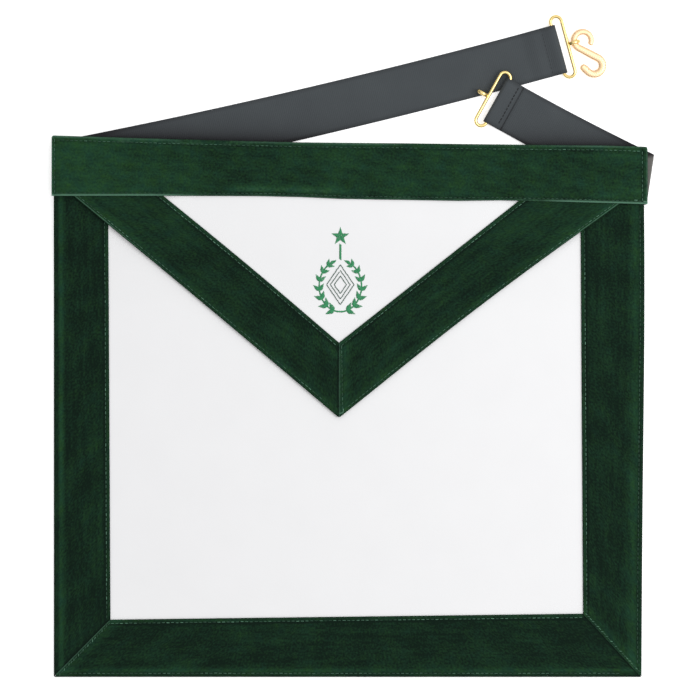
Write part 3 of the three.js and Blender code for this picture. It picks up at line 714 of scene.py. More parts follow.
def under_band(start, slope, depth):
    """Where a line from start meets the height that lies depth above the band's low edge."""
    travel = (band_low(start[0]) + depth - start[1]) / slope[1]
    for _ in range(8):
        travel = (band_low(start[0] + slope[0] * travel) + depth - start[1]) / slope[1]
    return start + slope * travel


flap_tip = np.array([flap_tip_x, band_low(flap_tip_x) - flap_drop])
flap_left_x, flap_right_x = band_left + flap_corner_inset["left"], band_right - flap_corner_inset["right"]
left_slope = unit(np.array([flap_left_x, band_low(flap_left_x)]) - flap_tip)
right_slope = unit(np.array([flap_right_x, band_low(flap_right_x)]) - flap_tip)
left_inward = np.array([left_slope[1], -left_slope[0]])
right_inward = np.array([-right_slope[1], right_slope[0]])
flap_apex = flap_tip + np.array([0, flap_strip_width / -left_slope[0]])
right_inner_top = under_band(
    np.array([flap_right_x, band_low(flap_right_x)]) + right_inward * flap_strip_right_top, right_slope, 0)
right_inner_slope = unit(right_inner_top - flap_apex)

leather_inset, flap_blunt = {"left": 1.9, "right": 3.6}, 6.0


def flap_leather_edge(slope, inward, inset):
    foot = flap_tip + inward * inset
    return foot + slope * flap_blunt / slope[1], under_band(foot, slope, tuck)


flap_left_edge = flap_leather_edge(left_slope, left_inward, leather_inset["left"])
flap_right_edge = flap_leather_edge(right_slope, right_inward, leather_inset["right"])


def flap_place(u, v):
    u, v = u[..., None], v[..., None]
    low = lerp(flap_left_edge[0], flap_right_edge[0], u)
    spot = lerp(low, lerp(flap_left_edge[1], flap_right_edge[1], u), v)
    return spot[..., 0], spot[..., 1]


flap = leather_sheet("flap", flap_place, flap_base, flap_thick, 160, 81)
dress(flap, leather, "white_leather", "flap_panel")

flap_strip_top = flap_thick + cloth_gap + velvet_thick
flap_strip_low = flap_thick + cloth_gap
flap_before = [(at_outer(0.8), 0.25), (at_outer(0.4), 0.1), (at_outer(0.0), 0.5), (at_outer(0.0), 1.5),
               (at_outer(0.1), flap_strip_top - 0.35), (at_outer(0.34), flap_strip_top - 0.1)]
flap_front = ([at_outer(distance) for distance in np.arange(0.7, 4.6, 0.4)]
              + spread_front(5.0, 0.5, 26))
flap_behind = [(at_inner(0.32), flap_strip_top - 0.06), (at_inner(0.1), flap_strip_top - 0.28),
               (at_inner(0.0), flap_strip_top - 0.6), (at_inner(0.2), flap_strip_low + 0.03),
               (at_inner(3.0), flap_strip_low), (at_inner(12), flap_strip_low),
               (at_outer(6), flap_strip_low), (at_outer(1.3), flap_strip_low),
               (at_outer(1.0), flap_strip_low - 0.3), (at_outer(1.0), 0.5)]


pale_start, pale_reach = 40.0, 55.0


def flap_shade(strip, share, across, spot, shown):
    """Velvet that grows paler towards the waistband, with a painted highlight along its outer fold that grows
    stronger there, painted highlights along its inner edge and where it laps its neighbour, and painted shade
    beside its seam and where its neighbour laps over it.
    """
    width = lerp(*strip.widths, share)
    inner = width - across
    high = smooth((spot[..., 1] - pale_start) / pale_reach)
    nap_and_painted_light = 0.23 + 0.13 * high + 0.2 * bell(inner - 1.0, 1.5) + 0.25 * bell(across - 2.5, 3.0)
    nap_and_painted_light = nap_and_painted_light - 0.35 * bell(inner - seam_inset - 0.9, 0.8)
    ridge_highlight = (0.14 + 0.65 * high) * bell(across - 0.4, 0.55)
    away = strip.from_cut(spot, strip.first)
    if strip.ends[0] == "over":
        nap_and_painted_light = nap_and_painted_light + 0.35 * bell(away - 4.0, 4.0)
        ridge_highlight = ridge_highlight + mitre_shine["flap"] * bell(away - 0.5, 0.7)
    else:
        nap_and_painted_light = nap_and_painted_light - 0.3 * bell(away, 1.6)
    return nap_and_painted_light, ridge_highlight * shown


def flap_strip(slope, inner_slope, top_width, lies, seed, bow):
    parting = corner_gap / abs(slope[0])
    outer, inner = flap_tip + slope * parting, flap_apex + inner_slope * parting
    tip_width = (flap_apex[1] - flap_tip[1]) * abs(slope[0])
    return Strip((outer, inner), (under_band(outer, slope, tuck), under_band(inner, inner_slope, tuck)),
                 (tip_width, top_width), flap_base, (lies, "hidden"), seed, bow, (flap_tip[0], tip_radius))


flap_strips = {
    "flap_border_left": flap_strip(
        left_slope, left_slope, flap_strip_width, "under", 4.1, (0.6, 0.8, 1.0)),
    "flap_border_right": flap_strip(
        right_slope, right_inner_slope, flap_strip_right_top, "over", 5.6, (2.4, 0.0, 1.0)),
}
flap_rows = []
for name, strip in flap_strips.items():
    piece = strip_mesh(name.replace("border", "velvet"), strip, flap_before, flap_front, flap_behind,
                       flap_strip_top, flap_shade)
    dress(piece, velvet, "green_velvet", name)
    first = 0.01 if strip.ends[0] == "over" else 0.015
    inner_row = row_on(strip, flap_strip_top, seam_inset, first, 0.97)
    outer_row = row_on(strip, flap_strip_top, 2.2, first + 0.02, 0.97, outer=True)
    flap_rows += [(running_stitches(inner_row), 1.1), (running_stitches(outer_row), 0.75)]
flap_mitre = row_by_cut(flap_strips["flap_border_right"], flap_strip_top, 2.4, 0.06)
flap_rows.append((running_stitches(flap_mitre), 0.55))
tack_turns = flap_tip + np.array([(3.0, 6.5), (2.7, 3.6), (0.2, 3.0)])
tack = np.array([[x, y, flap_base(x, y) + flap_strip_top + 0.12] for x, y in tack_turns])
flap_rows += [(lerp(start, stop, np.linspace(0, 1, 7)[:, None])[None], 3.0)
              for start, stop in zip(tack[:-1], tack[1:])]
flap_thread = threads("flap_stitches", [(row, thread_radius, shine) for row, shine in flap_rows])
dress(flap_thread, thread, "green_velvet")

# The waistband: a wide strip of the same velvet, folded over the top edges of the
# panel and the flap and sewn through near its fold, its lower edge and its ends.
band_back_short = 3.0
band_clear, band_ease, band_strip_reach = 2.0, 16.0, 12.0
band_rows = {"top": 3.1, "low": 1.9, "left": 2.1, "right": 3.6}
front_clear = panel_top + cloth_gap
band_behind = lift_height
left_outer_top = under_band(flap_tip, left_slope, tuck)
right_outer_top = under_band(flap_tip, right_slope, tuck)
left_inner_top = under_band(flap_apex, left_slope, 0)


def step_at(x, start, stop):
    return smooth((x - start) / (stop - start))


def band_front(x, above):
    """Height of the front's outer face: it steps over what runs under its lower edge."""
    fade = 1 - smooth((above - tuck - band_clear) / band_ease)
    strips = (step_at(x, left_inner_top[0] + band_strip_reach, left_inner_top[0])
              + step_at(x, right_inner_top[0] - band_strip_reach, right_inner_top[0]))
    past = (step_at(x, left_outer_top[0] - velvet_thick, band_left)
            + step_at(x, right_outer_top[0] + velvet_thick, band_right))
    full = flap_thick + cloth_gap + (velvet_thick + cloth_gap) * (side_rise(x) + strips)
    under = front_clear + lerp(full, velvet_thick + cloth_gap, past) * fade
    return band_behind + under + velvet_thick


def band_relief(x, above):
    whole = band_top(x) - band_low(x)
    pull = 0.75 + 0.25 * np.cos(2 * math.pi * x / stitch_pitch)
    height = 0.22 * np.sin(math.pi * np.clip(above / whole, 0, 1)) ** 0.6
    height = height + 0.10 * ripple(x, above, 46, 7.7) + 0.06 * ripple(x, above, 17, 3.1)
    height = height - 0.40 * pull * bell(above - band_rows["low"], 0.55)
    height = height - 0.32 * pull * bell(whole - above - band_rows["top"], 0.6)
    height = height - 0.32 * bell(x - band_left - band_rows["left"], 0.6)
    height = height - 0.40 * bell(band_right - x - band_rows["right"], 0.7)
    near = np.minimum(np.minimum(x - band_left, band_right - x), above)
    return height - 0.38 * (1 - np.sqrt(1 - (1 - np.clip(near / 0.55, 0, 1)) ** 2))


def band_level(x, above):
    return band_front(x, above) + band_relief(x, above)


# How far the real band's lower and upper edges wander from even curves, by x
low_drift = [(-190, 0.2), (-118, 0.55), (-64, 0.8), (-36, 0.5), (-9, -0.4), (18, -0.5), (73, -0.5),
             (101, 0.4), (190, 0.1)]
high_drift = [(-190, 0.0), (-36, 0.0), (0, 0.35), (35, 0.75), (100, 0.95), (170, 1.0), (200, 0.3)]


def band_drift(x, above):
    low, high = (np.interp(x, *zip(*drift)) for drift in (low_drift, high_drift))
    return lerp(low, high, above / (band_top(x) - band_low(x)))


band_length = band_right - band_left
band_x = band_left + steps_to(band_length, step=1.5, fine=0.25, reach=5.0) * band_length
corner_round = 1.4
corner_near = 1 - np.clip(np.minimum(band_x - band_left, band_right - band_x) / corner_round, 0, 1)
band_axis = band_top(band_x) - fold_radius - corner_round * (1 - np.sqrt(1 - corner_near ** 2))
band_reach = band_axis - band_low(band_x)
above_foot = [0.0, 0.15, 0.3, 0.55, 0.9, 1.2, 1.5, 1.9, 2.3, 2.7, 3.2, 4.0]
below_fold = [3.2, 2.5, 2.0, 1.6, 1.25, 0.9, 0.5, 0.2]
band_above = np.concatenate(
    [band_reach[:, None] - np.array(below_fold)[::-1],
     lerp(4.8, band_reach - 4.0, np.linspace(1, 0, 24)[:, None]).T,
     np.repeat([above_foot[::-1]], len(band_x), 0)], 1)
closing = smooth(np.minimum(band_x - band_left, band_right - band_x) / velvet_thick)[:, None]
fold_turn = np.linspace(0, math.pi, 15)
fold_top = band_level(band_x, band_reach)
fold_middle = (fold_top + band_behind) / 2
fold_half = (fold_top - band_behind) / 2
outer_fold = np.stack([
    band_axis[:, None] + fold_radius * np.sin(fold_turn),
    fold_middle[:, None] - fold_half[:, None] * np.cos(fold_turn)], -1)
inner_fold = np.stack([
    band_axis[:, None] + closing * (fold_radius - velvet_thick) * np.sin(fold_turn),
    fold_middle[:, None] - closing * (fold_half[:, None] - velvet_thick) * np.cos(fold_turn)], -1)[:, ::-1]
front_y = band_low(band_x)[:, None] + band_above
front_z = band_level(band_x[:, None] + 0 * band_above, band_above)
inside_pick = np.arange(len(band_above[0]) - 1, -1, -3)
inside_above = band_above[:, inside_pick]
inside_y = band_low(band_x)[:, None] + inside_above
inside_low = band_front(band_x[:, None] + 0 * inside_above, inside_above) - velvet_thick
inside_z = lerp((inside_low + velvet_thick + band_behind) / 2, inside_low, closing)
back_y = np.stack([band_axis, band_axis - 12, band_low(band_x) + band_back_short + 6,
                   band_low(band_x) + band_back_short], 1)
back_front = band_front(band_x[:, None] + 0 * back_y, back_y - band_low(band_x)[:, None])
back_z = lerp((back_front + band_behind) / 2, band_behind + velvet_thick, closing)
band_y = np.concatenate([
    back_y[:, ::-1][:, :3], outer_fold[..., 0], front_y, inside_y, inner_fold[..., 0], back_y[:, 1:]], 1)
band_z = np.concatenate([
    np.full((len(band_x), 3), band_behind), outer_fold[..., 1], front_z, inside_z,
    inner_fold[..., 1], back_z[:, 1:]], 1)
band_up = band_y - band_low(band_x)[:, None]
band_whole = (band_top(band_x) - band_low(band_x))[:, None]
band_span = band_x[:, None] + 0 * band_up
band_points = np.stack([band_span, band_y + band_drift(band_span, band_up), band_z], -1)
from_ends = np.minimum(band_span - band_left, band_right - band_span)
is_front = np.zeros(band_up.shape)
is_front[:, 3:3 + len(fold_turn) + band_above.shape[1]] = 1

# The pile lies paler towards the left end and in patches along both edges, with painted highlights near the
# top fold and the right end, and painted shade darkens it beside the seams. The pale ridges are painted
# highlights where the folded edges catch the light.
pale_low = step_at(band_span, -95, -75) * (1 - step_at(band_span, -25, 20))
pale_high = step_at(band_span, -185, -165) * (1 - step_at(band_span, -95, -40))
band_nap_and_painted_light = (0.45 + 0.12 * ripple(band_span, band_up, 120, 2.2) + 0.10 * ripple(band_span, band_up, 13, 1.1)
            + 0.11 * ripple(band_span, 2 * band_up, 6.5, 4.7)
            + 0.30 * (1 - step_at(band_span, -190, -90)) + 0.10 * step_at(band_span, 150, 200)
            + 0.45 * pale_low * bell(band_up - 5.5, 2.6)
            + 0.22 * step_at(band_span, 160, 190) * bell(band_up - 8, 7)
            + 0.20 * step_at(band_span, 130, 165) * bell(band_whole - band_up - 7.0, 1.4)
            + 0.18 * bell(band_whole - band_up - 1.6, 1.5)
            - 0.18 * bell(band_up - band_rows["low"], 0.9) * step_at(band_span, -110, -80)
            - 0.15 * bell(band_whole - band_up - band_rows["top"] - 0.6, 0.9)
            - 0.35 * bell(band_right - band_span - band_rows["right"], 1.2))
low_shine = 0.2 + 0.6 * (1 - step_at(band_span, -140, -100)) + 0.6 * step_at(band_span, 125, 150)
band_ridge_highlight = is_front * (low_shine * bell(band_up - 0.5, 0.75)
                         + (0.23 + 0.22 * ripple(band_span, 0 * band_up, 75, 0.4))
                         * bell(band_whole - band_up - 0.7, 0.7)
                         + 0.27 * bell(from_ends - 0.4, 0.7)
                         + 0.15 * pale_high * (0.7 + 0.5 * ripple(band_span, 0 * band_up, 17, 2.6))
                         * bell(band_whole - band_up - 2.5, 1.2)
                         + 0.11 * pale_low * bell(band_up - 4.8, 1.9))
band = skin("velvet_band", band_points, lines={
    "cloth": np.stack([band_span, band_up + 3000, 0 * band_up], -1), "nap_and_painted_light": band_nap_and_painted_light, "ridge_highlight": band_ridge_highlight})
dress(band, velvet, "green_velvet", "waistband")


def band_row(x, above):
    return np.stack([x, band_low(x) + above + band_drift(x, above), band_level(x, above)], -1)


row_x = np.linspace(band_left + 2.5, band_right - 4.0, 900)
low_row = running_stitches(band_row(row_x, 0 * row_x + band_rows["low"]))
top_row = running_stitches(band_row(row_x, band_top(row_x) - band_low(row_x) - band_rows["top"]))
left_up, right_up = (np.linspace(1.5, band_height[side] - 1.5, 90) for side in ("left", "right"))
band_stitches = [
    (top_row, 0.50 + 0.30 * step_at(top_row[:, 3, 0], 90, 120)),
    (low_row, 0.10 + 0.14 * step_at(low_row[:, 3, 0], -110, -60)),
    (running_stitches(band_row(0 * left_up + band_left + band_rows["left"], left_up)), 0.5),
    (running_stitches(band_row(0 * right_up + band_right - band_rows["right"], right_up)), 0.5),
]
for from_right, above, far in ((3.01, 1.9, 2.4), (7.11, 2.4, -2.2), (2.71, -2.2, 0.5)):
    x = band_right - from_right
    spot = band_row(np.linspace(x, x + far, 7), np.full(7, above))
    spot[:, 2] += 0.25
    band_stitches.append((spot[None], 4.0))
band_thread = threads("band_stitches", [(row, thread_radius, shine) for row, shine in band_stitches])
dress(band_thread, thread, "green_velvet")

# The belts: two lengths of charcoal ribbed webbing, sewn to the waistband's back.
# Each free end is turned round a wire link and sewn down. The right belt folds back
# on itself just past the waistband's end and lies across the left one.
webbing_thick, belt_width = 1.2, 34.0
rib_pitch, rib_depth, row_step = 1.3, 0.05, 0.27
wire_thick = 2.0
on_table = webbing_thick / 2
on_belt = on_table + webbing_thick + cloth_gap
loop_radius = wire_thick / 2 + cloth_gap + webbing_thick / 2
loop_outside = loop_radius + webbing_thick / 2
turn_length, turn_ease, turn_clear, loop_ease = 13.5, 10.0, 2.0, 9.0
sewn_thread_inset = 10.2

webbing, webbing_tree, webbing_shader = material("charcoal_webbing", (0.05, 0.058, 0.064), 0.75, specular=0.2)
webbing_shader.inputs["Sheen Weight"].default_value = 0.08
webbing_place = cloth_line(webbing_tree, "cloth", "Vector")
webbing_mottle = use_mottle(webbing_tree, webbing_place, patch=0.04, streak=1.2, grain=2.2)
webbing_edge_and_shade = cloth_line(webbing_tree, "edge")
webbing_tone = sum_of(webbing_tree, (webbing_mottle.outputs["Patches"], 0.6, 0.0),
                      (webbing_mottle.outputs["Grains"], 1.3, -0.45))
webbing_edges_and_painted_shade = sum_of(webbing_tree, (webbing_edge_and_shade, 1.0, 0.0))
# The belts' colour: mottled webbing with a painted highlight on the fold past the waistband's end, darkened
# towards near-black along both edges and by painted shade beside the waistband, along that fold's edges and
# at each turned end.
webbing_tree.links.new(
    blend_colours(webbing_tree,
                  blend_colours(webbing_tree, blend_colours(
                      webbing_tree, (0.040, 0.046, 0.052), (0.065, 0.075, 0.080), webbing_tone),
                      (0.125, 0.121, 0.114), cloth_line(webbing_tree, "worn")),
                  (0.010, 0.010, 0.012), webbing_edges_and_painted_shade),
    webbing_shader.inputs["Base Color"])
webbing_ribs = webbing_tree.nodes.new("ShaderNodeTexWave")
webbing_ribs.bands_direction = "Y"
webbing_ribs.inputs["Scale"].default_value = 0.45
webbing_ribs.inputs["Distortion"].default_value = 0.6
webbing_tree.links.new(webbing_place, webbing_ribs.inputs["Vector"])
raise_surface(webbing_tree, webbing_shader, sum_of(
    webbing_tree, (webbing_ribs.outputs["Fac"], 0.4, 0.0),
    (webbing_mottle.outputs["Grains"], 0.6, 0.0)), 0.12, 0.6)


class Route:
    """A flat arc in plan, by its start, its angles at both ends and its length."""

    def __init__(self, start, first, last, length):
        self.start, self.length = np.array(start, float), length
        self.first = math.radians(first)
        self.bend = (math.radians(last) - self.first) / length

    def at(self, travel):
        angle = self.first + self.bend * travel
        spot = self.start + np.array([math.sin(angle) - math.sin(self.first),
                                      math.cos(self.first) - math.cos(angle)]) / self.bend
        along = np.array([math.cos(angle), math.sin(angle)])
        return spot, along, np.array([-along[1], along[0]])

    def row(self, travel, level, pitch, along_cloth):
        """A straight row across the belt: two edge points, outward direction, cloth place."""
        spot, along, across = self.at(travel)
        normal = np.array([*(along * math.sin(pitch)), math.cos(pitch)])
        half = across * belt_width / 2
        return (np.array([*(spot - half), level]), np.array([*(spot + half), level]), normal,
                along_cloth, along_cloth)

    def eased(self, start, stop, low, high, facing, cloth, count):
        rows = []
        for share in np.linspace(0, 1, count):
            slope = (high - low) * 6 * share * (1 - share) / (stop - start)
            pitch = -math.atan(slope) + (0 if facing > 0 else math.pi)
            rows.append(self.row(lerp(start, stop, share), lerp(low, high, smooth(share)), pitch,
                                 cloth + abs(stop - start) * share))
        return rows

    def looped(self, travel, level, facing, cloth):
        rows = []
        for share in np.linspace(0, 1, 15)[1:-1]:
            pitch = math.pi * (share if facing > 0 else 1 - share)
            rows.append(self.row(travel + loop_radius * math.sin(pitch),
                                 level + loop_radius * math.cos(pitch), pitch,
                                 cloth + math.pi * loop_radius * share))
        return rows


belt_section = ([(part, 1.0) for part in np.linspace(-0.97, 0.97, 13)]
                + [(0.985, 0.92), (0.996, 0.62), (1.0, 0.0), (0.996, -0.62), (0.985, -0.92)]
                + [(part, -1.0) for part in np.linspace(0.97, -0.97, 13)]
                + [(-0.985, -0.92), (-0.996, -0.62), (-1.0, 0.0), (-0.996, 0.62), (-0.985, 0.92)])


def ribbon(name, rows, end_shade, fold_place=None):
    """Webbing through rows. Its ribs run square to its edges, also where it is folded."""
    a, b, normal, cloth_a, cloth_b = [np.array(part, float) for part in zip(*rows)]
    travel = np.concatenate([[0], np.cumsum(np.linalg.norm(np.diff((a + b) / 2, axis=0), axis=1))])
    fine = np.unique(np.concatenate([travel, np.arange(0, travel[-1], row_step)]))

    def between(values):
        values = values.reshape(len(travel), -1)
        return np.stack([np.interp(fine, travel, values[:, k]) for k in range(values.shape[1])], -1)
    a, b, normal = between(a), between(b), between(normal)
    normal /= np.linalg.norm(normal, axis=1, keepdims=True)
    cloth_a, cloth_b = between(cloth_a), between(cloth_b)
    u = np.array([part for part, _ in belt_section])
    n = np.array([part for _, part in belt_section])
    middle, half = (a + b) / 2, (b - a) / 2
    if fold_place is not None:
        half = half * (1 - 0.02 * bell((cloth_a + cloth_b) / 2 - fold_place, 1.2))
    along = (cloth_a + cloth_b) / 2 + (cloth_b - cloth_a) / 2 * u
    across = 0 * along + u * belt_width / 2
    rib = 1 - rib_depth * (1 - np.cos(2 * math.pi * along / rib_pitch)) / (webbing_thick / 2)
    selvedge = 1 - 0.12 * bell(np.abs(across) - belt_width / 2 + 0.8, 0.5)
    thick = webbing_thick / 2 * n * rib * selvedge
    points = middle[:, None] + half[:, None] * u[:, None] + normal[:, None] * thick[..., None]
    # Painted light and shade: the fold past the waistband's end is painted lighter as a highlight and darker
    # along its edges, painted shade darkens the webbing beside the waistband, and a painted shadow lies
    # across each turned end. Both edges are also darker.
    past_end = smooth((points[..., 0] - band_right + 0.5) / 1.0)
    painted_band_shade = np.exp(-np.clip(points[..., 1] - band_top(points[..., 0]), 0, None) / 8.0)
    edge = 0.45 * bell(np.abs(across) - belt_width / 2, 1.1) + painted_band_shade * (1 - past_end)
    edge = edge + 0.8 * past_end * bell(np.abs(across) - belt_width / 2, 0.9)
    edge = edge + end_shade * bell(cloth_b[-1] - along, 0.6)
    return skin(name, points, lines={
        "cloth": np.stack([along, across, 0 * along], -1), "edge": edge, "worn": past_end})


left_inset, left_rise, left_sewn, left_down = 17.0, 2.5, 24.0, 69.0
left_start = band_left + left_inset
belt_middle = (band_top(left_start) + band_low(left_start)) / 2
left_route = Route((left_start, belt_middle + left_rise), first=11.2, last=15.3, length=341.0)
left_bar, left_bar_level = left_route.length - loop_outside, loop_outside
left_turned = left_route.length - turn_length
left_flat = left_down + turn_ease
left_climb = left_turned - turn_clear - turn_ease
left_close = left_bar - loop_ease
left_rows = [
    left_route.row(0, on_belt, 0, 0),
    *left_route.eased(left_sewn, left_down, on_belt, on_table, 1, left_sewn, 30),
    *left_route.eased(left_flat, left_climb - turn_clear, on_table, on_table, 1, left_flat, 60),
    *left_route.eased(left_climb, left_climb + turn_ease, on_table, on_belt, 1, left_climb, 12),
    *left_route.eased(left_close, left_bar, on_belt, left_bar_level + loop_radius, 1, left_close, 14),
    *left_route.looped(left_bar, left_bar_level, 1, left_bar),
    *left_route.eased(left_bar, left_turned, left_bar_level - loop_radius, left_bar_level - loop_radius,
                      -1, left_bar + math.pi * loop_radius, 12),
]
left_belt = ribbon("webbing_left", left_rows, 0.3)
dress(left_belt, webbing, "grey_webbing", "belt_left")

fold_angle = math.radians(81.4)
fold_past, fold_drop, fold_slide = 2.0, 4.0, 1.5
right_first, right_last, right_length = 154.4, 150.7, 119.92
right_sewn, right_flat, cross_length, cross_ease = 27.0, 12.0, 12.0, 24.0
band_end_middle = (band_top(band_right) + band_low(band_right)) / 2
fold_along = np.array([math.cos(fold_angle), math.sin(fold_angle)])
fold_edge = np.array([band_right + fold_past, band_end_middle - fold_drop]) + fold_along * fold_slide
fold_out = np.array([fold_along[1], -fold_along[0]])
fold_bend = (webbing_thick + cloth_gap) / 2
fold_axis = fold_edge - fold_out * (fold_bend + webbing_thick / 2)
fold_reach = belt_width / 2 / math.sin(math.radians(right_first) - fold_angle)
fold_skew = belt_width / 2 / math.tan(math.radians(right_first) - fold_angle)
right_route = Route(fold_axis, right_first, right_last, right_length - fold_bend - webbing_thick / 2)
cross_floor = webbing_thick + cloth_gap
right_bar, right_bar_level = right_route.length - loop_outside, cross_floor + loop_outside
right_turned = right_route.length - turn_length
cross_stop = right_turned - cross_length
cross_start = cross_stop - cross_ease
way_in = 2 * fold_angle - math.radians(right_first)
incoming = np.array([math.cos(way_in), math.sin(way_in)])
across_in = np.array([-incoming[1], incoming[0]])
sewn_end = fold_axis - incoming * right_sewn


def fold_row(pitch):
    middle = fold_axis + fold_out * fold_bend * math.sin(pitch)
    level = fold_bend + webbing_thick / 2 + fold_bend * math.cos(pitch)
    normal = np.array([*(fold_out * math.sin(pitch)), math.cos(pitch)])
    place = right_sewn + fold_bend * pitch
    return (np.array([*(middle + fold_along * fold_reach), level]),
            np.array([*(middle - fold_along * fold_reach), level]), normal,
            place + fold_skew, place - fold_skew)


after_fold = right_sewn + math.pi * fold_bend
right_rows = [
    (np.array([*(sewn_end + across_in * belt_width / 2), on_belt]),
     np.array([*(sewn_end - across_in * belt_width / 2), on_belt]), np.array([0, 0, 1.0]), 0.0, 0.0),
    *[fold_row(pitch) for pitch in np.linspace(0, math.pi, 15)],
    *right_route.eased(right_flat, cross_start - turn_clear, on_table, on_table, -1,
                       after_fold + right_flat, 8),
    *right_route.eased(cross_start, cross_stop, on_table, cross_floor + on_table, -1,
                       after_fold + cross_start, 20),
    right_route.row(right_bar, cross_floor + on_table, math.pi, after_fold + right_bar),
    *right_route.looped(right_bar, right_bar_level, -1, after_fold + right_bar),
    *right_route.eased(right_bar, right_bar - loop_ease, right_bar_level + loop_radius,
                       cross_floor + on_belt, 1, after_fold + right_bar + math.pi * loop_radius, 14),
    right_route.row(right_turned, cross_floor + on_belt, 0,
                    after_fold + right_bar + math.pi * loop_radius + right_bar - right_turned),
]
right_belt = ribbon("webbing_right", right_rows, 0.9, (right_sewn + after_fold) / 2)
dress(right_belt, webbing, "grey_webbing", "belt_right")

belt_thread_look = material("belt_thread", (0.013, 0.013, 0.015), 0.6, specular=0.3)[0]


def belt_stitches(route, travel, level):
    spot, _, across = route.at(travel)
    half = across * (belt_width / 2 - 2.0)
    return running_stitches([[*(spot - half), level], [*(spot + half), level]],
                            pitch=2.6, length=1.9, radius=0.2)


belt_thread = threads("belt_stitches", [
    (belt_stitches(left_route, left_route.length - sewn_thread_inset, on_belt + webbing_thick / 2 - 0.1),
     0.14, 1.0),
    (belt_stitches(right_route, right_route.length - sewn_thread_inset,
                   cross_floor + on_belt + webbing_thick / 2), 0.36, 1.0)])
dress(belt_thread, belt_thread_look, "grey_webbing")

# The links: oblong loops of gold-plated wire, each with a small flat ring soldered
# to the middle of its free bar. One lies in each belt's turned end and can swing.
link_bars, plated_wire, wire_sides = 7.6, 2.3, 20
link_reach = {"hook": (-21.55, 23.25, 1.6), "eye": (-20.95, 21.95, 0.6)}
ring_outer, ring_hole, ring_width, ring_reach, ring_lift = 4.1, 2.7, 2.4, 4.7, 0.05
solder_halves = [1.5, 1.35, 1.25, 1.3], [0.95, 0.9, 0.9, 0.9]


def two_tone(shader, tree, first, second, grain):
    """Fine uneven colour between two tones. grain is in waves a metre."""
    noise = tree.nodes.new("ShaderNodeTexNoise")
    noise.inputs["Scale"].default_value = grain
    tree.links.new(blend_colours(tree, first, second, noise.outputs["Fac"]), shader.inputs["Base Color"])
    return noise.outputs["Fac"]


gold, gold_tree, gold_shader = material("gold_wire", (0.90, 0.68, 0.28), 0.18, metallic=1.0)
gold_grain = two_tone(gold_shader, gold_tree, (0.88, 0.64, 0.24), (0.93, 0.74, 0.34), 420)
raise_surface(gold_tree, gold_shader, gold_grain, 0.03, 0.15)


def tube(name, spots, sides, ups, half_side, half_up, closed=True):
    """Round or oval metal along a row of points, with its half sizes at each point."""
    turn = np.arange(wire_sides) * 2 * math.pi / wire_sides
    rings = (np.asarray(spots)[:, None]
             + np.asarray(sides)[:, None] * np.cos(turn)[:, None] * np.reshape(half_side, (-1, 1, 1))
             + np.asarray(ups)[:, None] * np.sin(turn)[:, None] * np.reshape(half_up, (-1, 1, 1)))
    return skin(name, rings, closed=closed)


def link_axes(route, travel, level, floor):
    """A link's own axes: its bar's middle, out from the belt, along the bar and up."""
    spot, along, across = route.at(travel)
    tilt = math.asin((floor + ring_outer - level) / (link_bars + ring_reach))
    out = np.array([*(along * math.cos(tilt)), math.sin(tilt)])
    bar = np.array([*across, 0.0])
    return np.array([*spot, level]), out, bar, np.cross(out, bar)


def wire_link(name, axes, reach, node, body):
    """reach is how far the loop goes along its bar, low and high, and its ring's place."""
    origin, out, bar, up = axes
    radius = link_bars / 2
    spots, sides = [], []
    for sign, end in ((1, reach[1]), (-1, reach[0])):
        straight = end - sign * (radius + wire_thick / 2)
        for angle in np.linspace(0, math.pi, 25):
            side = out * sign * math.cos(angle) + bar * sign * math.sin(angle)
            spots.append(origin + out * radius + bar * straight + side * radius)
            sides.append(side)
    loop = tube(name, spots, sides, np.repeat([up], len(spots), 0),
                np.full(len(spots), plated_wire / 2), np.full(len(spots), plated_wire / 2))
    angles = np.arange(48) * 2 * math.pi / 48
    origin = origin + bar * reach[2]
    centre = origin + out * (link_bars + ring_reach)
    sides = out * np.cos(angles)[:, None] + up * np.sin(angles)[:, None]
    wall = (ring_outer - ring_hole) / 2
    ring = tube(name + "_ring", centre + sides * (ring_hole + wall), sides, np.repeat([bar], 48, 0),
                np.full(48, wall), np.full(48, ring_width / 2))
    solder = tube(name + "_solder", [origin + out * (link_bars + 0.2 + 0.3 * k) for k in range(4)],
                  np.repeat([bar], 4, 0), np.repeat([up], 4, 0), *solder_halves, closed=False)
    dress(loop, gold, "gold_wire", node, body=body)
    for piece in (ring, solder):
        dress(piece, gold, "gold_wire", body=body)


hook_axes = link_axes(left_route, left_bar, left_bar_level, ring_lift)
eye_axes = link_axes(right_route, right_bar, right_bar_level, cross_floor)
wire_link("wire_hook_link", hook_axes, link_reach["hook"], "hook_link", "left_link")
wire_link("wire_eye_link", eye_axes, link_reach["eye"], "eye_link", "right_link")

# The clasp: a serpent cast in gold plate, bent to an S. Its tail is closed round the
# hook link's ring, and its head is the open hook that takes the other link.
clasp_loop, clasp_spread, clasp_thick = 5.9, 18.9, 3.0
clasp_turn, tail_wrap, head_wrap, head_straight = -81, -48, 196, 6.4
scale_pitch, scale_columns, scale_depth = 1.5, 5, 0.20
eye_place, eye_apart, eye_radius, eye_sides, eye_rows = -34, 1.25, 0.5, 14, 10

cast, cast_tree, cast_shader = material("cast_gold", (0.94, 0.68, 0.42), 0.42, metallic=1.0)
cast_grain = two_tone(cast_shader, cast_tree, (0.90, 0.58, 0.32), (0.96, 0.74, 0.49), 900)
raise_surface(cast_tree, cast_shader, cast_grain, 0.03, 0.5)

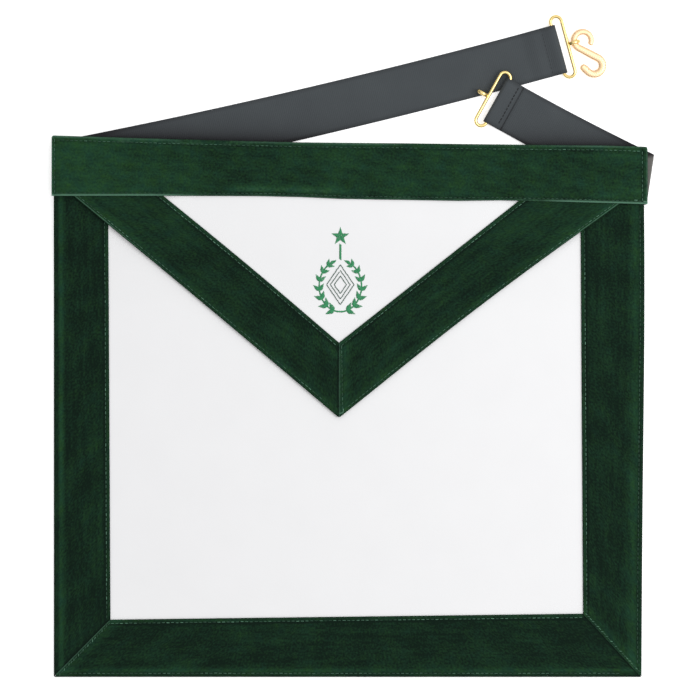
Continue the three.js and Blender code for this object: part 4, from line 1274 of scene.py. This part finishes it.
clasp_centre = hook_axes[0] + hook_axes[1] * (link_bars + ring_reach) + hook_axes[2] * link_reach["hook"][2]
clasp_along = unit(hook_axes[1][:2])
clasp_heading = math.atan2(clasp_along[1], clasp_along[0])
clasp_line = clasp_heading + math.radians(clasp_turn)
line_way = np.array([math.cos(clasp_line), math.sin(clasp_line)])
first_loop = clasp_centre[:2] + clasp_along * clasp_loop
second_loop = first_loop + line_way * clasp_spread
clasp_meet = clasp_line - math.acos(2 * clasp_loop / clasp_spread) + 2 * math.pi


def around_loop(middle, angles):
    return middle + clasp_loop * np.stack([np.cos(angles), np.sin(angles)], -1)


tail_angles = np.linspace(clasp_heading + math.radians(tail_wrap), clasp_meet, 160)
head_angles = np.linspace(clasp_meet - math.pi, clasp_meet - math.pi - math.radians(head_wrap), 120)
clasp_plan = np.concatenate([around_loop(first_loop, tail_angles), around_loop(second_loop, head_angles)])
head_side = -np.array([math.cos(head_angles[-1]), math.sin(head_angles[-1])])
head_way = np.array([-head_side[1], head_side[0]])
head_run = head_way * np.linspace(0.2, head_straight, 26)[:, None]
clasp_plan = np.concatenate([clasp_plan, clasp_plan[-1] + head_run])
clasp_travel = np.concatenate([[0], np.cumsum(np.linalg.norm(np.diff(clasp_plan, axis=0), axis=1))])
even_travel = np.linspace(0, clasp_travel[-1], 420)
clasp_plan = np.stack([np.interp(even_travel, clasp_travel, clasp_plan[:, k]) for k in (0, 1)], -1)
clasp_way = np.gradient(clasp_plan, axis=0)
clasp_way /= np.linalg.norm(clasp_way, axis=1, keepdims=True)
clasp_side = np.stack([-clasp_way[:, 1], clasp_way[:, 0], 0 * even_travel], -1)
crossing = clasp_centre[2] - (ring_hole - cloth_gap - clasp_thick / 2)
away_way = unit(line_way + clasp_along)
clasp_reach = (clasp_plan - clasp_centre[:2]) @ away_way
clasp_level = crossing - (crossing - clasp_thick / 2) / clasp_reach.max() * clasp_reach
clasp_spots = np.concatenate([clasp_plan, clasp_level[:, None]], 1)
body_share = even_travel / even_travel[-1]
body_width = np.interp(body_share, [0, 0.3, 0.55, 0.9, 0.95, 1], [3.7, 4.3, 5.5, 5.2, 5.2, 4.2]) / 2
body_height = np.interp(body_share, [0, 0.9, 1], [0.9, 1.0, 0.85]) * clasp_thick / 2
from_tips = np.minimum(even_travel / 1.0, (even_travel[-1] - even_travel) / 1.6)
tip_round = np.sqrt(np.clip(1 - (1 - np.clip(from_tips, 0, 1)) ** 2, 0.02, 1))
body_turn = np.arange(40) * 2 * math.pi / 40
scale_rows = np.clip(1 - body_share / 0.93, 0, 1) ** 0.1
scale_run = math.pi * even_travel[:, None] / scale_pitch
scales = np.abs(np.sin(scale_columns * body_turn + scale_run)
                * np.sin(scale_columns * body_turn - scale_run)) ** 0.5
scale_relief = scale_depth * scale_rows[:, None] * (scales - 1)
clasp_rings = (clasp_spots[:, None]
               + clasp_side[:, None] * (np.cos(body_turn) * (tip_round * body_width)[:, None]
                                        * (1 + scale_relief / 2))[..., None]
               + np.array([0, 0, 1.0]) * (np.sin(body_turn) * (tip_round * body_height)[:, None]
                                          * (1 + scale_relief))[..., None])
serpent = skin("serpent_clasp", clasp_rings)
dress(serpent, cast, "cast_gold", "s_hook", body="left_link")

ball_turn = np.arange(eye_sides) * 2 * math.pi / eye_sides + math.pi / 2
ball_rise = np.arange(1, eye_rows) * math.pi / eye_rows
ball_out = np.sin(ball_rise)
ball = np.stack([np.outer(ball_out, np.cos(ball_turn)), np.outer(ball_out, np.sin(ball_turn)),
                 np.outer(np.cos(ball_rise), np.ones(eye_sides))], -1).reshape(-1, 3)
ball = np.concatenate([ball, [[0, 0, 1], [0, 0, -1]]]) * eye_radius
ball_rings = np.arange(len(ball) - 2).reshape(-1, eye_sides)
eye_points, eye_faces = [], []
for first, sign in ((0, 1), (len(ball), -1)):
    rings = ball_rings + first
    eye_faces += quads_between(rings[:-1], rings[1:], 1)
    for ring, pole in ((rings[0], first + len(ball) - 2), (rings[-1], first + len(ball) - 1)):
        eye_faces += [[pole, int(a), int(b)] for a, b in zip(ring, np.roll(ring, -1))]
    spot = clasp_spots[eye_place] + clasp_side[eye_place] * eye_apart * sign + np.array([0, 0, 1.0])
    eye_points.append(ball + spot)
eyes = smooth_mesh("serpent_eyes", np.concatenate(eye_points), eye_faces, {})
dress(eyes, cast, "cast_gold", body="left_link")

# The embroidery: a plain device in green silk on the flap. The star, its stem and the
# open wreath are worked in satin stitch, and the three lozenges in running stitch.
silk, silk_tree, silk_shader = material("green_silk", (0.036, 0.26, 0.105), 0.5, specular=0.3)
silk_shader.inputs["Sheen Weight"].default_value = 0.15
two_tone(silk_shader, silk_tree, (0.026, 0.220, 0.086), (0.044, 0.310, 0.128), 700)
fine_silk = material("fine_green_silk", (0.045, 0.11, 0.075), 0.5, specular=0.3)[0]
device_middle, wreath_middle, lozenge_middle = -8.6, 42, 43
wreath_wide, wreath_high = 14.5, 17.5
fine_radius = 0.30


def on_flap(x, y):
    return flap_base(x, y) + flap_thick + leather_wave(x, y)


def satin(starts, stops, radius=0.22):
    """Threads side by side, each from one edge of a shape to the other."""
    starts, stops = np.asarray(starts, float), np.asarray(stops, float)
    part = np.linspace(0, 1, 7)
    plan = starts[:, None] + (stops - starts)[:, None] * part[:, None]
    reach = np.linalg.norm(stops - starts, axis=1)
    crown = np.sqrt(np.clip(1 - (2 * part - 1) ** 2, 0, 1)) * np.clip(0.16 * reach, 0.12, 0.4)[:, None]
    level = on_flap(plan[..., 0], plan[..., 1]) + crown - 0.05
    return np.concatenate([plan, level[..., None]], -1), radius, 1.0


def leaf(foot, angle, length, width):
    along = np.array([math.cos(angle), math.sin(angle)])
    across = np.array([-along[1], along[0]])
    share = np.linspace(0.03, 0.97, int(length / 0.3))
    half = width / 2 * np.sin(math.pi * share ** 0.8)
    spine = np.array(foot) + along * (share * length)[:, None]
    lean = along * 0.5
    return satin(spine - (across + lean) * half[:, None], spine + (across - lean) * half[:, None])


def stem(points, width):
    """A stem in short slanted stitches."""
    points = np.array([[*point, 0.0] for point in points])
    whole = along_path(points, 0.0)[1]
    travel = np.arange(0.0, whole, 0.32)
    spots = along_path(points, travel)[0][:, :2]
    ahead = along_path(points, travel + 0.5)[0][:, :2] - along_path(points, travel - 0.5)[0][:, :2]
    ahead /= np.linalg.norm(ahead, axis=1, keepdims=True)
    across = np.stack([-ahead[:, 1], ahead[:, 0]], -1) * width / 2
    return satin(spots - across - ahead * 0.5, spots + across + ahead * 0.5, 0.19)


def fine_line(points):
    points = [[x, y, on_flap(x, y) + 0.05] for x, y in points]
    dense = along_path(points, np.linspace(0, along_path(points, 0.0)[1], 200))[0]
    return running_stitches(dense, pitch=1.6, length=1.62, radius=fine_radius), fine_radius, 1.0


def star(centre, radius):
    shapes = []
    for k in range(5):
        angle = math.pi / 2 + 2 * math.pi * k / 5
        along = np.array([math.cos(angle), math.sin(angle)])
        across = np.array([-along[1], along[0]])
        inner = 0.42 * radius
        share = np.linspace(0.04, 0.98, int(radius / 0.3))
        knee = inner * math.cos(math.pi / 5) / radius
        wide = inner * math.sin(math.pi / 5)
        half = np.where(share < knee, wide * share / knee, wide * (1 - share) / (1 - knee))
        spine = np.array(centre) + along * (share * radius)[:, None]
        shapes.append(satin(spine - across * half[:, None], spine + across * half[:, None]))
    return shapes


def on_wreath(side, angle):
    return np.stack([device_middle + side * wreath_wide * np.cos(angle),
                     wreath_middle + wreath_high * np.sin(angle)], -1)


device = star((device_middle, 76.0), 6.2)
device.append(stem([(device_middle, 70.5), (device_middle, 60.0)], 1.5))
for side in (1, -1):
    angles = np.linspace(math.radians(-100), math.radians(62), 40)
    arc = on_wreath(side, angles)
    device.append(stem(arc, 1.0))
    for k in range(7):
        share = (k + 0.6) / 7
        angle = lerp(math.radians(-84), math.radians(62), share)
        heading = math.atan2(math.cos(angle), -side * math.sin(angle))
        for turn in (0.75, -0.75):
            device.append(leaf(on_wreath(side, angle), heading + turn,
                               6.4 - 1.8 * share, 3.2 - 0.8 * share))
    device.append(leaf(arc[-1], math.atan2(math.cos(angles[-1]), -side * math.sin(angles[-1])), 4.8, 2.3))
device_silk = threads("device_satin", device, sides=5)
dress(device_silk, silk, "green_velvet")
fine = []
for half_wide, half_high in ((9.4, 13.6), (6.8, 9.8), (4.2, 6.0)):
    corners = [(0, half_high), (half_wide, 0), (0, -half_high), (-half_wide, 0), (0, half_high)]
    fine.append(fine_line([(device_middle + x, lozenge_middle + y) for x, y in corners]))
device_fine = threads("device_lines", fine, sides=5)
dress(device_fine, fine_silk, "green_velvet")
